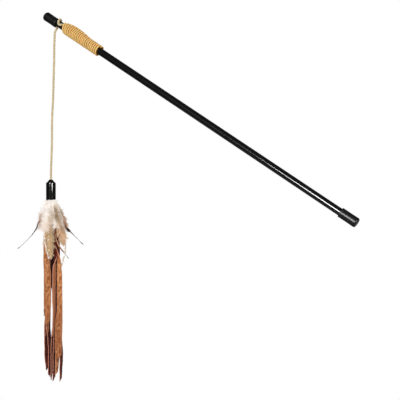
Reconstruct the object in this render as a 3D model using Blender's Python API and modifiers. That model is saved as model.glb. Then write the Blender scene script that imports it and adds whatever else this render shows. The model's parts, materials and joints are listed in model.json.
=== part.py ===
"""Feather cat wand: a plastic rod with vinyl end caps, a twine winding that holds a cord, and on
the cord a capped lure of suede strips and feathers.

Metres, +Z up. The origin is the middle of the grip, on the rod's axis. The rod lies in the plane
of X and Z with its tip towards -X and up, and the lure hangs from the tip along -Z.
"""

import math

import bmesh
import bpy
import numpy as np
from mathutils import Vector

# Rod
ROD_DIAMETER = 0.008
ROD_BORE = 0.005
ROD_TILT = math.radians(32.8)
GRIP_TO_TIP = 0.355
GRIP_TO_BUTT = 0.0885

# Clearance between two pieces that touch
FIT_GAP = 0.0003

# Vinyl caps on the rod's ends
CAP_WALL = 0.001
CAP_END = 0.0018
TIP_CAP_LENGTH = 0.020
TIP_CAP_ROUNDING = 0.0034
BUTT_CAP_LENGTH = 0.0207
BUTT_CAP_ROUNDING = 0.0024

# Cord
CORD_DIAMETER = 0.002
TAIL_UNDER_WRAP = 0.029
CORD_STEP = 0.005
HITCH_STEP = 0.0018

# Twine winding. Its first turn starts this far past the cord's turn round the rod.
WRAP_LEAD = 0.0069
WRAP_TURNS = 22
WRAP_PITCH = 0.0026
WRAP_SLANT = 0.0022
WRAP_SLANT_TOWARDS = math.radians(50)
WRAP_FIRST_ANGLE = math.radians(30)
WRAP_POINTS = 24
WRAP_FINE = 4
TWINE_DIAMETER = 0.0019
TAIL_CLEARANCE = 0.0005
TAIL_FADE = 0.003

# Where the cord bends, as distances along its free length
BEND_2 = 0.046
BEND_3 = 0.110

# Lure cap
LURE_RADIUS = 0.0055
LURE_WALL = 0.001
LURE_HEIGHT = 0.0233
LURE_CONE_HEIGHT = 0.0038
LURE_PEAK_RADIUS = 0.0023
LURE_SHOULDER = 0.0008
THROAT_CLEARANCE = 0.00045
THROAT_DEPTH = 0.0012
THROAT_REACH = 0.0009

# Inside the lure cap
KNOT_RADIUS = 0.0022
KNOT_LOBES = 3
KNOT_LOBE_DEPTH = 0.06
KNOT_SEGMENTS = 18
KNOT_RINGS = 10
PLUG_HEIGHT = 0.009
PLUG_RECESS = 0.001

# Suede strips. Their tops stand in a ring in the cap's mouth, and they spread below it.
STRIP_THICKNESS = 0.0012
STRIP_ROOT_THICKNESS = 0.0009
STRIP_ROOT_WIDTH = 0.0014
STRIP_TOP_GAP = 0.0006
STRIP_SPREAD_DEPTH = 0.040
STRIP_WIDEN_DEPTH = 0.036
STRIP_NECK_SHARE = 0.10
STRIP_HALFWAY_SHARE = 0.42
STRIP_SPREAD_REACH = 0.96
STRIP_FOOT_SHARE = 0.07
STRIP_FOOT_NARROWING = 0.55
STRIP_STATIONS = 20
STRIP_CROWDING = 1.3

# Feathers. Their quills stand in a ring round the strips.
QUILL_DIAMETER = 0.0005
QUILL_BARE_SHARE = 0.05
FEATHER_FULLNESS = 0.9
FEATHER_SEGMENTS = 8
FEATHER_RINGS = 14

# Turned pieces
ROUND_STEPS = 32
SHARP_ANGLE = math.radians(30)

# The lure is turned about its axis: its front looks this far from -Y towards +X
LURE_TURN = math.radians(24.0)

MERGE = 0.00001
EAST, NORTH, UP = Vector((1, 0, 0)), Vector((0, 1, 0)), Vector((0, 0, 1))

# The rod's own directions: along it from tip to butt, square to it upwards, and to its front
ALONG = Vector((math.cos(ROD_TILT), 0, -math.sin(ROD_TILT)))
OVER = Vector((math.sin(ROD_TILT), 0, math.cos(ROD_TILT)))
ROD_FRONT = -NORTH

# The lure's own directions
LURE_SIDE = EAST * math.cos(LURE_TURN) + NORTH * math.sin(LURE_TURN)
LURE_FRONT = EAST * math.sin(LURE_TURN) - NORTH * math.cos(LURE_TURN)

CORD_RADIUS = CORD_DIAMETER / 2
NECK = TIP_CAP_LENGTH + FIT_GAP + CORD_RADIUS
HITCH_RADIUS = ROD_DIAMETER / 2 + FIT_GAP + CORD_RADIUS
WRAP_START = NECK + WRAP_LEAD
TAIL_END = WRAP_START + TAIL_UNDER_WRAP
QUILL_RING_RADIUS = LURE_RADIUS - LURE_WALL - FIT_GAP - QUILL_DIAMETER / 2
STRIP_RING_RADIUS = QUILL_RING_RADIUS - (QUILL_DIAMETER + STRIP_ROOT_THICKNESS) / 2 - FIT_GAP

# The held end of the cord, with degrees round the rod from its upper side towards its front. The
# tail lies under the twine, by shares of its covered length. It comes out at the front, crosses
# to the cap's rim, by shares of the bare stretch, and goes over the top and down the back.
TAIL_ROUTE = [(1.0, 0), (0.655, 0), (0.414, 10), (0.224, 34), (0.062, 64)]
LEAD_ROUTE = [(0.754, 84), (0.435, 66), (0.16, 32), (0.03, -4)]
NECK_TURN = (-40, -76, -108, -136)

# From the underside of the neck to where the cord hangs free
EXIT_BEND = Vector((-0.0001, 0.0012, -0.0021))
EXIT_DROP = Vector((-0.0012, 0.0001, -0.0053))

# The half ball at the top of each free stretch: how far down it the rings lie, in radii
BALL_RINGS = (0.08, 0.35, 0.7)

# The free cord's route as it hangs, measured from where it leaves the rod
CORD_ROUTE = [
    (0.0, 0.0, 0.0),
    (-0.0004, -0.0002, -0.0060),
    (-0.0008, -0.0003, -0.0150),
    (-0.0010, -0.0002, -0.0240),
    (-0.0013, 0.0001, -0.0330),
    (-0.0018, 0.0003, -0.0443),
    (-0.0022, 0.0003, -0.0560),
    (-0.0024, 0.0001, -0.0676),
    (-0.0026, -0.0002, -0.0792),
    (-0.0032, -0.0004, -0.0908),
    (-0.0039, -0.0003, -0.1024),
    (-0.0042, 0.0, -0.1141),
    (-0.0044, 0.0003, -0.1257),
    (-0.0047, 0.0003, -0.1373),
    (-0.0051, 0.0002, -0.1489),
    (-0.0055, 0.0, -0.1605),
    (-0.0056, 0.0, -0.1680),
    (-0.0056, 0.0, -0.1713),
]

# Each strip: place in the ring and where its face looks there, in degrees from the lure's side
# towards its front; then, hanging free, its place to the side and front, where its face looks,
# its length, its width, and which way it swings.
STRIPS = {
    "strip_front_left": (130, 112, -0.0047, 0.0052, 92, 0.150, 0.0080, 128),
    "strip_front_middle": (85, 78, 0.0029, 0.0046, 38, 0.166, 0.0070, 122),
    "strip_front_right": (35, 62, 0.0098, 0.0046, 84, 0.188, 0.0080, 66),
    "strip_back_left": (178, 165, -0.0052, -0.0030, 200, 0.198, 0.0078, 250),
    "strip_back_mid_left": (218, 174, -0.0022, -0.0036, 198, 0.209, 0.0078, 284),
    "strip_back_middle": (256, 182, 0.0015, -0.0038, 198, 0.214, 0.0078, 287),
    "strip_back_mid_right": (292, 190, 0.0051, -0.0034, 199, 0.212, 0.0078, 290),
    "strip_back_right": (326, 200, 0.0087, -0.0030, 202, 0.204, 0.0070, 295),
    "strip_far_right": (0, 212, 0.0124, -0.0022, 222, 0.211, 0.0072, 306),
}

# Each feather: its quill's place in the ring and where its face looks, in degrees as above, the
# places that it passes (to the side, to the front and down from the cap's mouth), its width and
# thickness, and where along it is widest.
FEATHERS = {
    "white_plume_front_left": (
        118,
        97,
        [(-0.0057, 0.0096, 0.011), (-0.0071, 0.0122, 0.024), (-0.0076, 0.0122, 0.037)],
        0.0130,
        0.0028,
        0.55,
    ),
    "white_plume_front_right": (
        62,
        83,
        [(0.0056, 0.0098, 0.011), (0.0071, 0.0124, 0.024), (0.0092, 0.0124, 0.036)],
        0.0130,
        0.0028,
        0.55,
    ),
    "white_plume_right": (
        12,
        6,
        [(0.0098, 0.0024, 0.011), (0.0158, 0.0026, 0.023), (0.0196, 0.0028, 0.034)],
        0.0078,
        0.0028,
        0.55,
    ),
    "white_plume_left": (
        170,
        176,
        [(-0.0086, 0.0010, 0.011), (-0.0118, 0.0006, 0.023), (-0.0134, 0.0004, 0.034)],
        0.0090,
        0.0028,
        0.55,
    ),
    "white_plume_back_left": (
        238,
        262,
        [(-0.0048, -0.0094, 0.011), (-0.0062, -0.0118, 0.024), (-0.0070, -0.0120, 0.036)],
        0.0120,
        0.0028,
        0.55,
    ),
    "white_plume_back_right": (
        304,
        278,
        [(0.0046, -0.0094, 0.011), (0.0076, -0.0118, 0.024), (0.0094, -0.0120, 0.036)],
        0.0120,
        0.0028,
        0.55,
    ),
    "tan_feather_left": (
        98,
        94,
        [
            (-0.0008, 0.0076, 0.014),
            (-0.0022, 0.0085, 0.032),
            (-0.0024, 0.0087, 0.052),
            (-0.0004, 0.0085, 0.073),
        ],
        0.0104,
        0.0010,
        0.62,
    ),
    "tan_feather_right": (
        44,
        84,
        [
            (0.0056, 0.0066, 0.014),
            (0.0098, 0.0080, 0.030),
            (0.0122, 0.0084, 0.043),
            (0.0140, 0.0086, 0.055),
        ],
        0.0112,
        0.0010,
        0.66,
    ),
    "dark_hackle_left": (
        146,
        120,
        [
            (-0.0080, 0.0072, 0.011),
            (-0.0124, 0.0080, 0.024),
            (-0.0168, 0.0084, 0.035),
            (-0.0262, 0.0086, 0.047),
            (-0.0368, 0.0086, 0.0566),
        ],
        0.0010,
        0.0009,
        0.40,
    ),
    "dark_hackle_right": (
        28,
        60,
        [
            (0.0090, 0.0068, 0.010),
            (0.0152, 0.0082, 0.023),
            (0.0190, 0.0088, 0.032),
            (0.0270, 0.0092, 0.0414),
            (0.0384, 0.0094, 0.0516),
        ],
        0.0013,
        0.0010,
        0.42,
    ),
    "brown_hackle_low": (
        80,
        80,
        [
            (0.0009, 0.0054, 0.006),
            (0.0026, 0.0092, 0.018),
            (0.0046, 0.0102, 0.030),
            (0.0092, 0.0102, 0.050),
            (0.0219, 0.0102, 0.068),
        ],
        0.0010,
        0.0008,
        0.50,
    ),
    "pale_hackle_left": (
        104,
        95,
        [
            (-0.0012, 0.0054, 0.006),
            (-0.0036, 0.0094, 0.020),
            (-0.0058, 0.0100, 0.034),
            (-0.0066, 0.0100, 0.050),
            (-0.0062, 0.0100, 0.067),
        ],
        0.0012,
        0.0007,
        0.60,
    ),
    "pale_hackle_right": (
        344,
        290,
        [
            (0.0104, -0.0066, 0.014),
            (0.0146, -0.0078, 0.036),
            (0.0158, -0.0078, 0.060),
            (0.0110, -0.0074, 0.080),
        ],
        0.0012,
        0.0007,
        0.60,
    ),
}


def clear_scene():
    for obj in list(bpy.data.objects):
        bpy.data.objects.remove(obj, do_unlink=True)


def make_finish(name, colour, roughness):
    """A plain non-metal finish."""
    finish = bpy.data.materials.new(name)
    finish.use_nodes = True
    shader = finish.node_tree.nodes["Principled BSDF"]
    shader.inputs["Base Color"].default_value = (*colour, 1.0)
    shader.inputs["Roughness"].default_value = roughness
    shader.inputs["Metallic"].default_value = 0.0
    return finish


def place_object(name, data, finish, pivot, at=None, turn=None):
    """Adds a piece to the wand, carried by its pivot. at is its place in the part's frame."""
    obj = bpy.data.objects.new(name, data)
    obj.data.materials.append(finish)
    parts.objects.link(obj)
    obj.parent = pivot
    if at is not None:
        obj.location = at - places[pivot.name]
    if turn is not None:
        obj.rotation_mode = "QUATERNION"
        obj.rotation_quaternion = turn
    return obj


def make_pivot(name, at, parent=None):
    """An empty at a joint, or at the middle of the grip for the wand itself."""
    pivot = bpy.data.objects.new(name, None)
    pivot.empty_display_size = 0.01
    parts.objects.link(pivot)
    places[name] = Vector(at)
    pivot.parent = parent
    pivot.location = Vector(at) - (places[parent.name] if parent else Vector())
    return pivot


def rod_point(from_tip, angle=0.0, radius=0.0):
    """A point beside the rod's axis. The angle turns from its upper side towards its front."""
    outward = OVER * math.cos(angle) + ROD_FRONT * math.sin(angle)
    return ALONG * (from_tip - GRIP_TO_TIP) + outward * radius


def lure_point(side, front, down):
    """A point by its distances from the middle of the lure cap's mouth."""
    return mouth + LURE_SIDE * side + LURE_FRONT * front - UP * down


def ring_direction(degrees):
    """A level direction out of the lure's axis, from its side towards its front."""
    angle = math.radians(degrees)
    return LURE_SIDE * math.cos(angle) + LURE_FRONT * math.sin(angle)


class Path:
    """A smooth curve through points, read by the distance along it."""

    def __init__(self, points, fine=12):
        points = [Vector(p) for p in points]
        first = points[0] * 2 - points[1]
        last = points[-1] * 2 - points[-2]
        ends = [first, *points, last]
        line = []
        for a, b, c, d in zip(ends, ends[1:], ends[2:], ends[3:]):
            for step in range(fine):
                line.append(self.between(a, b, c, d, step / fine))
        line.append(points[-1])
        self.line = line
        steps = [(q - p).length for p, q in zip(line, line[1:])]
        self.marks = np.concatenate([[0.0], np.cumsum(steps)])
        self.length = float(self.marks[-1])

    @staticmethod
    def between(a, b, c, d, t):
        """A point of the curve from b to c whose slopes follow the points' real spacing."""
        near, mid, far = ((q - p).length for p, q in ((a, b), (b, c), (c, d)))
        leave = ((b - a) / near - (c - a) / (near + mid) + (c - b) / mid) * mid
        arrive = ((c - b) / mid - (d - b) / (mid + far) + (d - c) / far) * mid
        t2, t3 = t * t, t * t * t
        start = b * (2 * t3 - 3 * t2 + 1) + leave * (t3 - 2 * t2 + t)
        return start + c * (3 * t2 - 2 * t3) + arrive * (t3 - t2)

    def at(self, distance):
        distance = min(max(distance, 0.0), self.length)
        i = min(int(np.searchsorted(self.marks, distance, side="right")) - 1, len(self.line) - 2)
        share = (distance - self.marks[i]) / (self.marks[i + 1] - self.marks[i])
        return self.line[i].lerp(self.line[i + 1], float(share))

    def direction(self, distance, reach=0.0004):
        return (self.at(distance + reach) - self.at(distance - reach)).normalized()

    def stretch(self, start, end, step):
        """Evenly spaced points from start to end."""
        count = max(2, round((end - start) / step))
        return [self.at(start + (end - start) * i / count) for i in range(count + 1)]


def tube(name, points, diameter, resolution, finish, pivot, shares=None):
    """A round tube with closed ends along points. shares scale its radius at each point."""
    curve = bpy.data.curves.new(name, "CURVE")
    curve.dimensions = "3D"
    curve.bevel_depth = diameter / 2
    curve.bevel_resolution = resolution
    curve.use_fill_caps = True
    spline = curve.splines.new("POLY")
    spline.points.add(len(points) - 1)
    for i, point in enumerate(points):
        spline.points[i].co = (*(point - places[pivot.name]), 1.0)
        spline.points[i].radius = shares[i] if shares else 1.0
    return place_object(name, curve, finish, pivot)


def turned(name, profile, finish, pivot, at, turn=None, ring=False):
    """A round piece turned from a profile of (radius, height), which runs down its outer side."""
    edges = [(i, i + 1) for i in range(len(profile) - 1)]
    if ring:
        edges.append((len(profile) - 1, 0))
    mesh = bpy.data.meshes.new(name)
    mesh.from_pydata([(radius, 0.0, height) for radius, height in profile], edges, [])
    obj = place_object(name, mesh, finish, pivot, at, turn)
    screw = obj.modifiers.new("Turn", "SCREW")
    screw.steps = screw.render_steps = ROUND_STEPS
    screw.use_merge_vertices = True
    screw.merge_threshold = MERGE
    return obj


def quarter_round(radius, height, rounding, steps=5):
    """Points of a rounded corner, from the top's edge down to the side."""
    return [
        (
            radius - rounding + rounding * math.sin(math.pi / 2 * i / steps),
            height - rounding + rounding * math.cos(math.pi / 2 * i / steps),
        )
        for i in range(steps + 1)
    ]


def make_rod(finish, pivot):
    """The hollow rod, from the end wall of one cap to that of the other."""
    start = CAP_END + FIT_GAP
    end = GRIP_TO_TIP + GRIP_TO_BUTT - CAP_END - FIT_GAP
    half = (end - start) / 2
    outer, inner = ROD_DIAMETER / 2, ROD_BORE / 2
    profile = [(outer, half), (outer, -half), (inner, -half), (inner, half)]
    turn = UP.rotation_difference(-ALONG)
    turned("rod", profile, finish, pivot, rod_point(start + half), turn, ring=True)


def make_end_cap(name, length, rounding, outward, end_point, finish, pivot):
    """A vinyl cap: a cup pushed over the rod's end, its closed end looking outward."""
    inner = ROD_DIAMETER / 2 + FIT_GAP
    outer = inner + CAP_WALL
    profile = [(0.0, 0.0)]
    profile += quarter_round(outer, 0.0, rounding)
    profile += [(outer, -length), (inner, -length), (inner, -CAP_END), (0.0, -CAP_END)]
    turned(name, profile, finish, pivot, end_point, UP.rotation_difference(outward))


def hitch_route():
    """The held cord's way: distances from the rod's tip, and angles round the rod."""
    route = [(WRAP_START + TAIL_UNDER_WRAP * share, angle) for share, angle in TAIL_ROUTE]
    route += [(NECK + WRAP_LEAD * share, angle) for share, angle in LEAD_ROUTE]
    route += [(NECK, angle) for angle in NECK_TURN]
    return [(from_tip, math.radians(angle)) for from_tip, angle in route]


def tail_angle(from_tip):
    """Where round the rod the covered tail lies, at a distance from the tip."""
    covered = hitch_route()[len(TAIL_ROUTE) :: -1]
    return float(np.interp(from_tip, [s for s, _ in covered], [a for _, a in covered]))


def wrap_radius(angle, from_tip):
    """How far the twine's centre lies from the axis: round the rod, or taut over the tail."""
    bare = ROD_DIAMETER / 2 + FIT_GAP + TWINE_DIAMETER / 2
    bump = CORD_RADIUS + TAIL_CLEARANCE + TWINE_DIAMETER / 2
    lean = abs(math.remainder(angle - tail_angle(from_tip), 2 * math.pi))
    flank = math.acos((bare - bump) / HITCH_RADIUS)
    touch = math.atan2(bump * math.sin(flank), HITCH_RADIUS + bump * math.cos(flank))
    if lean < touch:
        taut = HITCH_RADIUS * math.cos(lean)
        taut += math.sqrt(bump**2 - (HITCH_RADIUS * math.sin(lean)) ** 2)
    elif lean < flank:
        taut = bare / math.cos(flank - lean)
    else:
        taut = bare
    past = min(max((from_tip - TAIL_END) / TAIL_FADE, 0.0), 1.0)
    return bare + (taut - bare) * (1 - past * past * (3 - 2 * past))


def wrap_point(turns):
    """The twine's centre after a number of turns. The first turns slant, and the last are square."""
    angle = WRAP_FIRST_ANGLE + 2 * math.pi * turns
    slant = WRAP_SLANT * (1 - turns / WRAP_TURNS)
    from_tip = WRAP_START + WRAP_PITCH * turns - slant * math.cos(angle - WRAP_SLANT_TOWARDS)
    return rod_point(from_tip, angle, wrap_radius(angle, from_tip))


def least_gap(points, diameter, apart):
    """The least clear distance between turns: points at least apart steps from each other."""
    spots = np.array([tuple(p) for p in points])
    nearest = min(
        float(np.linalg.norm(spots[i + apart :] - spots[i], axis=1).min())
        for i in range(len(spots) - apart)
    )
    return nearest - diameter


def make_wrap(finish, pivot):
    """The twine winding: one unbroken tube, with a short straight end before and after."""
    count = round(WRAP_TURNS * WRAP_POINTS)
    points = [wrap_point(WRAP_TURNS * i / count) for i in range(count + 1)]
    lead_in = points[0] + (points[0] - points[1]).normalized() * TWINE_DIAMETER
    lead_out = points[-1] + (points[-1] - points[-2]).normalized() * TWINE_DIAMETER
    tube("twine_wrap", [lead_in, *points, lead_out], TWINE_DIAMETER, 1, finish, pivot)
    steps = count * WRAP_FINE
    fine = [wrap_point(WRAP_TURNS * i / steps) for i in range(steps + 1)]
    gap = least_gap(fine, TWINE_DIAMETER, WRAP_POINTS * WRAP_FINE // 2)
    print(f"twine_wrap: least gap between its turns {gap * 1000:.2f} mm")


def hanging_stretch(path, pivot_at, end):
    """Points and radius shares of a stretch whose top is a half ball round its joint."""
    top = pivot_at - CORD_RADIUS
    points, shares = [], []
    for share in BALL_RINGS:
        points.append(path.at(top + CORD_RADIUS * share))
        shares.append(math.sqrt(1 - (1 - share) ** 2))
    run = path.stretch(pivot_at, end, CORD_STEP)
    return points + run, shares + [1.0] * len(run)


def make_lure_cap(finish, pivot):
    """The lure's cap: a straight side, a conical top with a hole, open below."""
    inner = LURE_RADIUS - LURE_WALL
    throat = CORD_RADIUS + THROAT_CLEARANCE
    shoulder = LURE_HEIGHT - LURE_CONE_HEIGHT
    profile = [
        (throat, LURE_HEIGHT),
        (LURE_PEAK_RADIUS, LURE_HEIGHT),
        (LURE_RADIUS - LURE_SHOULDER, shoulder + LURE_SHOULDER),
        (LURE_RADIUS, shoulder - LURE_SHOULDER),
        (LURE_RADIUS, 0.0),
        (inner, 0.0),
        (inner, shoulder - LURE_WALL),
        (throat, LURE_HEIGHT - THROAT_DEPTH),
    ]
    turned("lure_cap", profile, finish, pivot, mouth, ring=True)


def knot_height():
    """Height of the knot's middle over the mouth, where it rests under the cap's cone."""
    inner = LURE_RADIUS - LURE_WALL
    throat = CORD_RADIUS + THROAT_CLEARANCE
    top = LURE_HEIGHT - THROAT_DEPTH
    run = inner - throat
    fall = top - (LURE_HEIGHT - LURE_CONE_HEIGHT - LURE_WALL)
    slope = math.hypot(run, fall)
    reach = KNOT_RADIUS * (1 + KNOT_LOBE_DEPTH) + FIT_GAP
    on_cone = top + throat * fall / run - reach * slope / run
    under_cord = LURE_HEIGHT - THROAT_REACH - FIT_GAP - KNOT_RADIUS
    return min(on_cone, under_cord)


def make_knot(finish, pivot):
    """The stopper knot: a round lump with the soft lobes of an overhand knot."""
    mesh = bpy.data.meshes.new("cord_knot")
    ball = bmesh.new()
    bmesh.ops.create_uvsphere(
        ball, u_segments=KNOT_SEGMENTS, v_segments=KNOT_RINGS, radius=KNOT_RADIUS
    )
    for vert in ball.verts:
        around = math.atan2(vert.co.y, vert.co.x)
        level = vert.co.z / KNOT_RADIUS
        lobe = KNOT_LOBE_DEPTH * math.cos(KNOT_LOBES * around + 2 * level)
        vert.co *= 1 + lobe * (1 - level * level)
    ball.to_mesh(mesh)
    ball.free()
    mesh.shade_smooth()
    place_object("cord_knot", mesh, finish, pivot, mouth + UP * knot_height())


def make_plug(finish, pivot):
    """The glue that fills the cap's mouth and holds the strips and quills."""
    mesh = bpy.data.meshes.new("glue_plug")
    disc = bmesh.new()
    radius = LURE_RADIUS - LURE_WALL - FIT_GAP
    bmesh.ops.create_cone(
        disc, cap_ends=True, segments=ROUND_STEPS, radius1=radius, radius2=radius, depth=PLUG_HEIGHT
    )
    disc.to_mesh(mesh)
    disc.free()
    mesh.shade_smooth()
    mesh.set_sharp_from_angle(angle=SHARP_ANGLE)
    middle = mouth + UP * (PLUG_RECESS + PLUG_HEIGHT / 2)
    place_object("glue_plug", mesh, finish, pivot, middle)


def ease(share):
    """A smooth step from 0 to 1."""
    share = min(max(share, 0.0), 1.0)
    return share * share * (3 - 2 * share)


def strip_top(ring):
    """Where a strip's top stands under the glue."""
    return mouth + UP * (PLUG_RECESS - STRIP_TOP_GAP) + ring_direction(ring) * STRIP_RING_RADIUS


def make_strip(name, finish, pivot, ring, ring_faces, side, front, faces, length, width):
    """A suede strip: a ribbon that widens out of the cap, turns to its own facing and hangs."""
    top = strip_top(ring)
    foot = lure_point(side, front, length)
    reach = STRIP_SPREAD_REACH
    spread = lure_point(side * reach, front * reach, STRIP_SPREAD_DEPTH)
    halfway = top.lerp(spread, 0.5)
    halfway.z = mouth.z - STRIP_SPREAD_DEPTH * STRIP_HALFWAY_SHARE
    neck = top - UP * STRIP_SPREAD_DEPTH * STRIP_NECK_SHARE
    path = Path([top, neck, halfway, spread, spread.lerp(foot, 0.5), foot])
    ribbon = bmesh.new()
    bmesh.ops.create_grid(ribbon, x_segments=2, y_segments=STRIP_STATIONS, size=0.5)
    for vert in ribbon.verts:
        across, along = vert.co.x, 0.5 - vert.co.y
        distance = path.length * along**STRIP_CROWDING
        opened = ease(distance / STRIP_SPREAD_DEPTH)
        facing = ring_direction(ring_faces + (faces - ring_faces) * opened)
        sideways = facing.cross(path.direction(distance)).normalized()
        full = ease(distance / STRIP_WIDEN_DEPTH)
        breadth = STRIP_ROOT_WIDTH + (width - STRIP_ROOT_WIDTH) * full
        breadth *= 1 - STRIP_FOOT_NARROWING * ease(1 - (1 - along) / STRIP_FOOT_SHARE)
        vert.co = path.at(distance) + sideways * (across * breadth) - places[pivot.name]
    mesh = bpy.data.meshes.new(name)
    ribbon.to_mesh(mesh)
    ribbon.free()
    obj = place_object(name, mesh, finish, pivot)
    body = obj.vertex_groups.new(name="body")
    for vert in mesh.vertices:
        drop = top.z - vert.co.z - places[pivot.name].z
        body.add([vert.index], ease(drop / STRIP_WIDEN_DEPTH), "REPLACE")
    solid = obj.modifiers.new("Thickness", "SOLIDIFY")
    solid.thickness = STRIP_THICKNESS
    solid.offset = 0.0
    solid.vertex_group = "body"
    solid.thickness_vertex_group = STRIP_ROOT_THICKNESS / STRIP_THICKNESS


def make_feather(name, finish, pivot, ring, faces, route, width, thickness, widest):
    """A feather: a ball drawn out along its quill and flattened, thin where the quill is bare."""
    outward = ring_direction(ring)
    root = mouth + UP * (PLUG_RECESS - FIT_GAP) + outward * QUILL_RING_RADIUS
    lip = mouth - UP * PLUG_RECESS + outward * (QUILL_RING_RADIUS + QUILL_DIAMETER / 4)
    path = Path([root, lip, *(lure_point(*spot) for spot in route)])
    skew = math.log(0.5) / math.log(widest)
    ball = bmesh.new()
    bmesh.ops.create_uvsphere(
        ball, u_segments=FEATHER_SEGMENTS, v_segments=FEATHER_RINGS, radius=1.0
    )
    for vert in ball.verts:
        share = math.acos(min(max(vert.co.z, -1.0), 1.0)) / math.pi
        spot = path.at(path.length * share)
        heading = path.direction(path.length * share)
        across = ring_direction(faces).cross(heading).normalized()
        facing = across.cross(heading).normalized()
        vaned = max((share - QUILL_BARE_SHARE) / (1 - QUILL_BARE_SHARE), 0.0)
        swell = math.sin(math.pi * vaned**skew) ** FEATHER_FULLNESS
        half_width = max(width * swell, QUILL_DIAMETER) / 2
        half_thick = max(thickness * swell, QUILL_DIAMETER) / 2
        round_about = Vector((vert.co.x, vert.co.y))
        if round_about.length > MERGE:
            round_about.normalize()
        vert.co = spot + across * (round_about.x * half_width) - places[pivot.name]
        vert.co += facing * (round_about.y * half_thick)
    mesh = bpy.data.meshes.new(name)
    ball.to_mesh(mesh)
    ball.free()
    mesh.shade_smooth()
    place_object(name, mesh, finish, pivot)


clear_scene()
parts = bpy.data.collections.new("feather_cat_wand")
bpy.context.scene.collection.children.link(parts)
places = {}

black_plastic = make_finish("black_plastic", (0.012, 0.012, 0.014), 0.35)
black_vinyl = make_finish("black_vinyl", (0.014, 0.013, 0.013), 0.45)
honey_twine = make_finish("honey_twine", (0.80, 0.50, 0.20), 0.85)
tan_cord = make_finish("tan_cord", (0.52, 0.42, 0.28), 0.85)
clear_glue = make_finish("clear_glue", (0.62, 0.58, 0.48), 0.30)
tan_suede = make_finish("tan_suede", (0.46, 0.20, 0.07), 0.90)
white_down = make_finish("white_down", (0.86, 0.81, 0.76), 0.80)
tan_vane = make_finish("tan_vane", (0.62, 0.40, 0.22), 0.70)
dark_vane = make_finish("dark_vane", (0.09, 0.05, 0.03), 0.50)

wand = make_pivot("wand_grip", (0, 0, 0))
make_rod(black_plastic, wand)
tip = rod_point(0)
butt = rod_point(GRIP_TO_TIP + GRIP_TO_BUTT)
make_end_cap("tip_cap", TIP_CAP_LENGTH, TIP_CAP_ROUNDING, -ALONG, tip, black_vinyl, wand)
make_end_cap("butt_cap", BUTT_CAP_LENGTH, BUTT_CAP_ROUNDING, ALONG, butt, black_vinyl, wand)
make_wrap(honey_twine, wand)

# The cord is one smooth line, cut where it leaves the rod and at its joints
underside = rod_point(NECK, math.pi, HITCH_RADIUS)
exit_point = underside + EXIT_DROP
held = [rod_point(s, a, HITCH_RADIUS) for s, a in hitch_route()]
free = [exit_point + Vector(spot) for spot in CORD_ROUTE]
throat_end = free[-1] - UP * THROAT_REACH
mouth = free[-1] - UP * LURE_HEIGHT
cord = Path([*held, underside + EXIT_BEND, *free, throat_end])
leaves = Path([*held, underside + EXIT_BEND, exit_point]).length
swing_at = leaves + FIT_GAP + CORD_RADIUS
sway_at = leaves + BEND_2
bend_at = leaves + BEND_3
tube("cord_hitch", cord.stretch(0.0, leaves, HITCH_STEP), CORD_DIAMETER, 2, tan_cord, wand)

swing = make_pivot("cord_swing_pivot", cord.at(swing_at), wand)
sway = make_pivot("cord_sway_pivot", cord.at(sway_at), swing)
bend = make_pivot("cord_bend_pivot", cord.at(bend_at), sway)
tilt = make_pivot("lure_tilt_pivot", mouth + UP * (LURE_HEIGHT - THROAT_REACH), bend)
spin = make_pivot("lure_spin_pivot", mouth, tilt)
stops = (sway_at - CORD_RADIUS - FIT_GAP, bend_at - CORD_RADIUS - FIT_GAP, cord.length)
for number, (start, stop, pivot) in enumerate(
    zip((swing_at, sway_at, bend_at), stops, (swing, sway, bend)), start=1
):
    points, shares = hanging_stretch(cord, start, stop)
    tube(f"cord_{number}", points, CORD_DIAMETER, 2, tan_cord, pivot, shares)

make_knot(tan_cord, tilt)
make_lure_cap(black_vinyl, spin)
make_plug(clear_glue, spin)

for name, (ring, ring_faces, side, front, faces, length, width, swings) in STRIPS.items():
    hinge = make_pivot(f"{name}_hinge", strip_top(ring), spin)
    make_strip(name, tan_suede, hinge, ring, ring_faces, side, front, faces, length, width)
    outward = ring_direction(swings)
    axis = ", ".join(f"{v:.4f}" for v in (outward.y, -outward.x, 0.0))
    print(f"{name}: hinge at {tuple(round(v, 5) for v in strip_top(ring))}, axis ({axis})")

vanes = {
    "white": white_down,
    "pale": white_down,
    "tan": tan_vane,
    "dark": dark_vane,
    "brown": dark_vane,
}
for name, shape in FEATHERS.items():
    make_feather(name, vanes[name.split("_")[0]], spin, *shape)

for name in ("cord_swing_pivot", "cord_sway_pivot", "cord_bend_pivot", "lure_tilt_pivot"):
    print(f"{name}: {tuple(round(v, 5) for v in places[name])}")
print(f"free cord: {(cord.length - leaves) * 1000:.1f} mm, mouth at {tuple(round(v, 5) for v in mouth)}")
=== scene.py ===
"""Feather cat wand: the finish and fine shape of every piece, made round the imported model.

Metres, in the model's own frame: +Z up, the origin on the rod's axis in the middle of the grip, the
rod in the plane of X and Z with its tip towards -X and up.
"""

import json
import math
from collections import namedtuple

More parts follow.
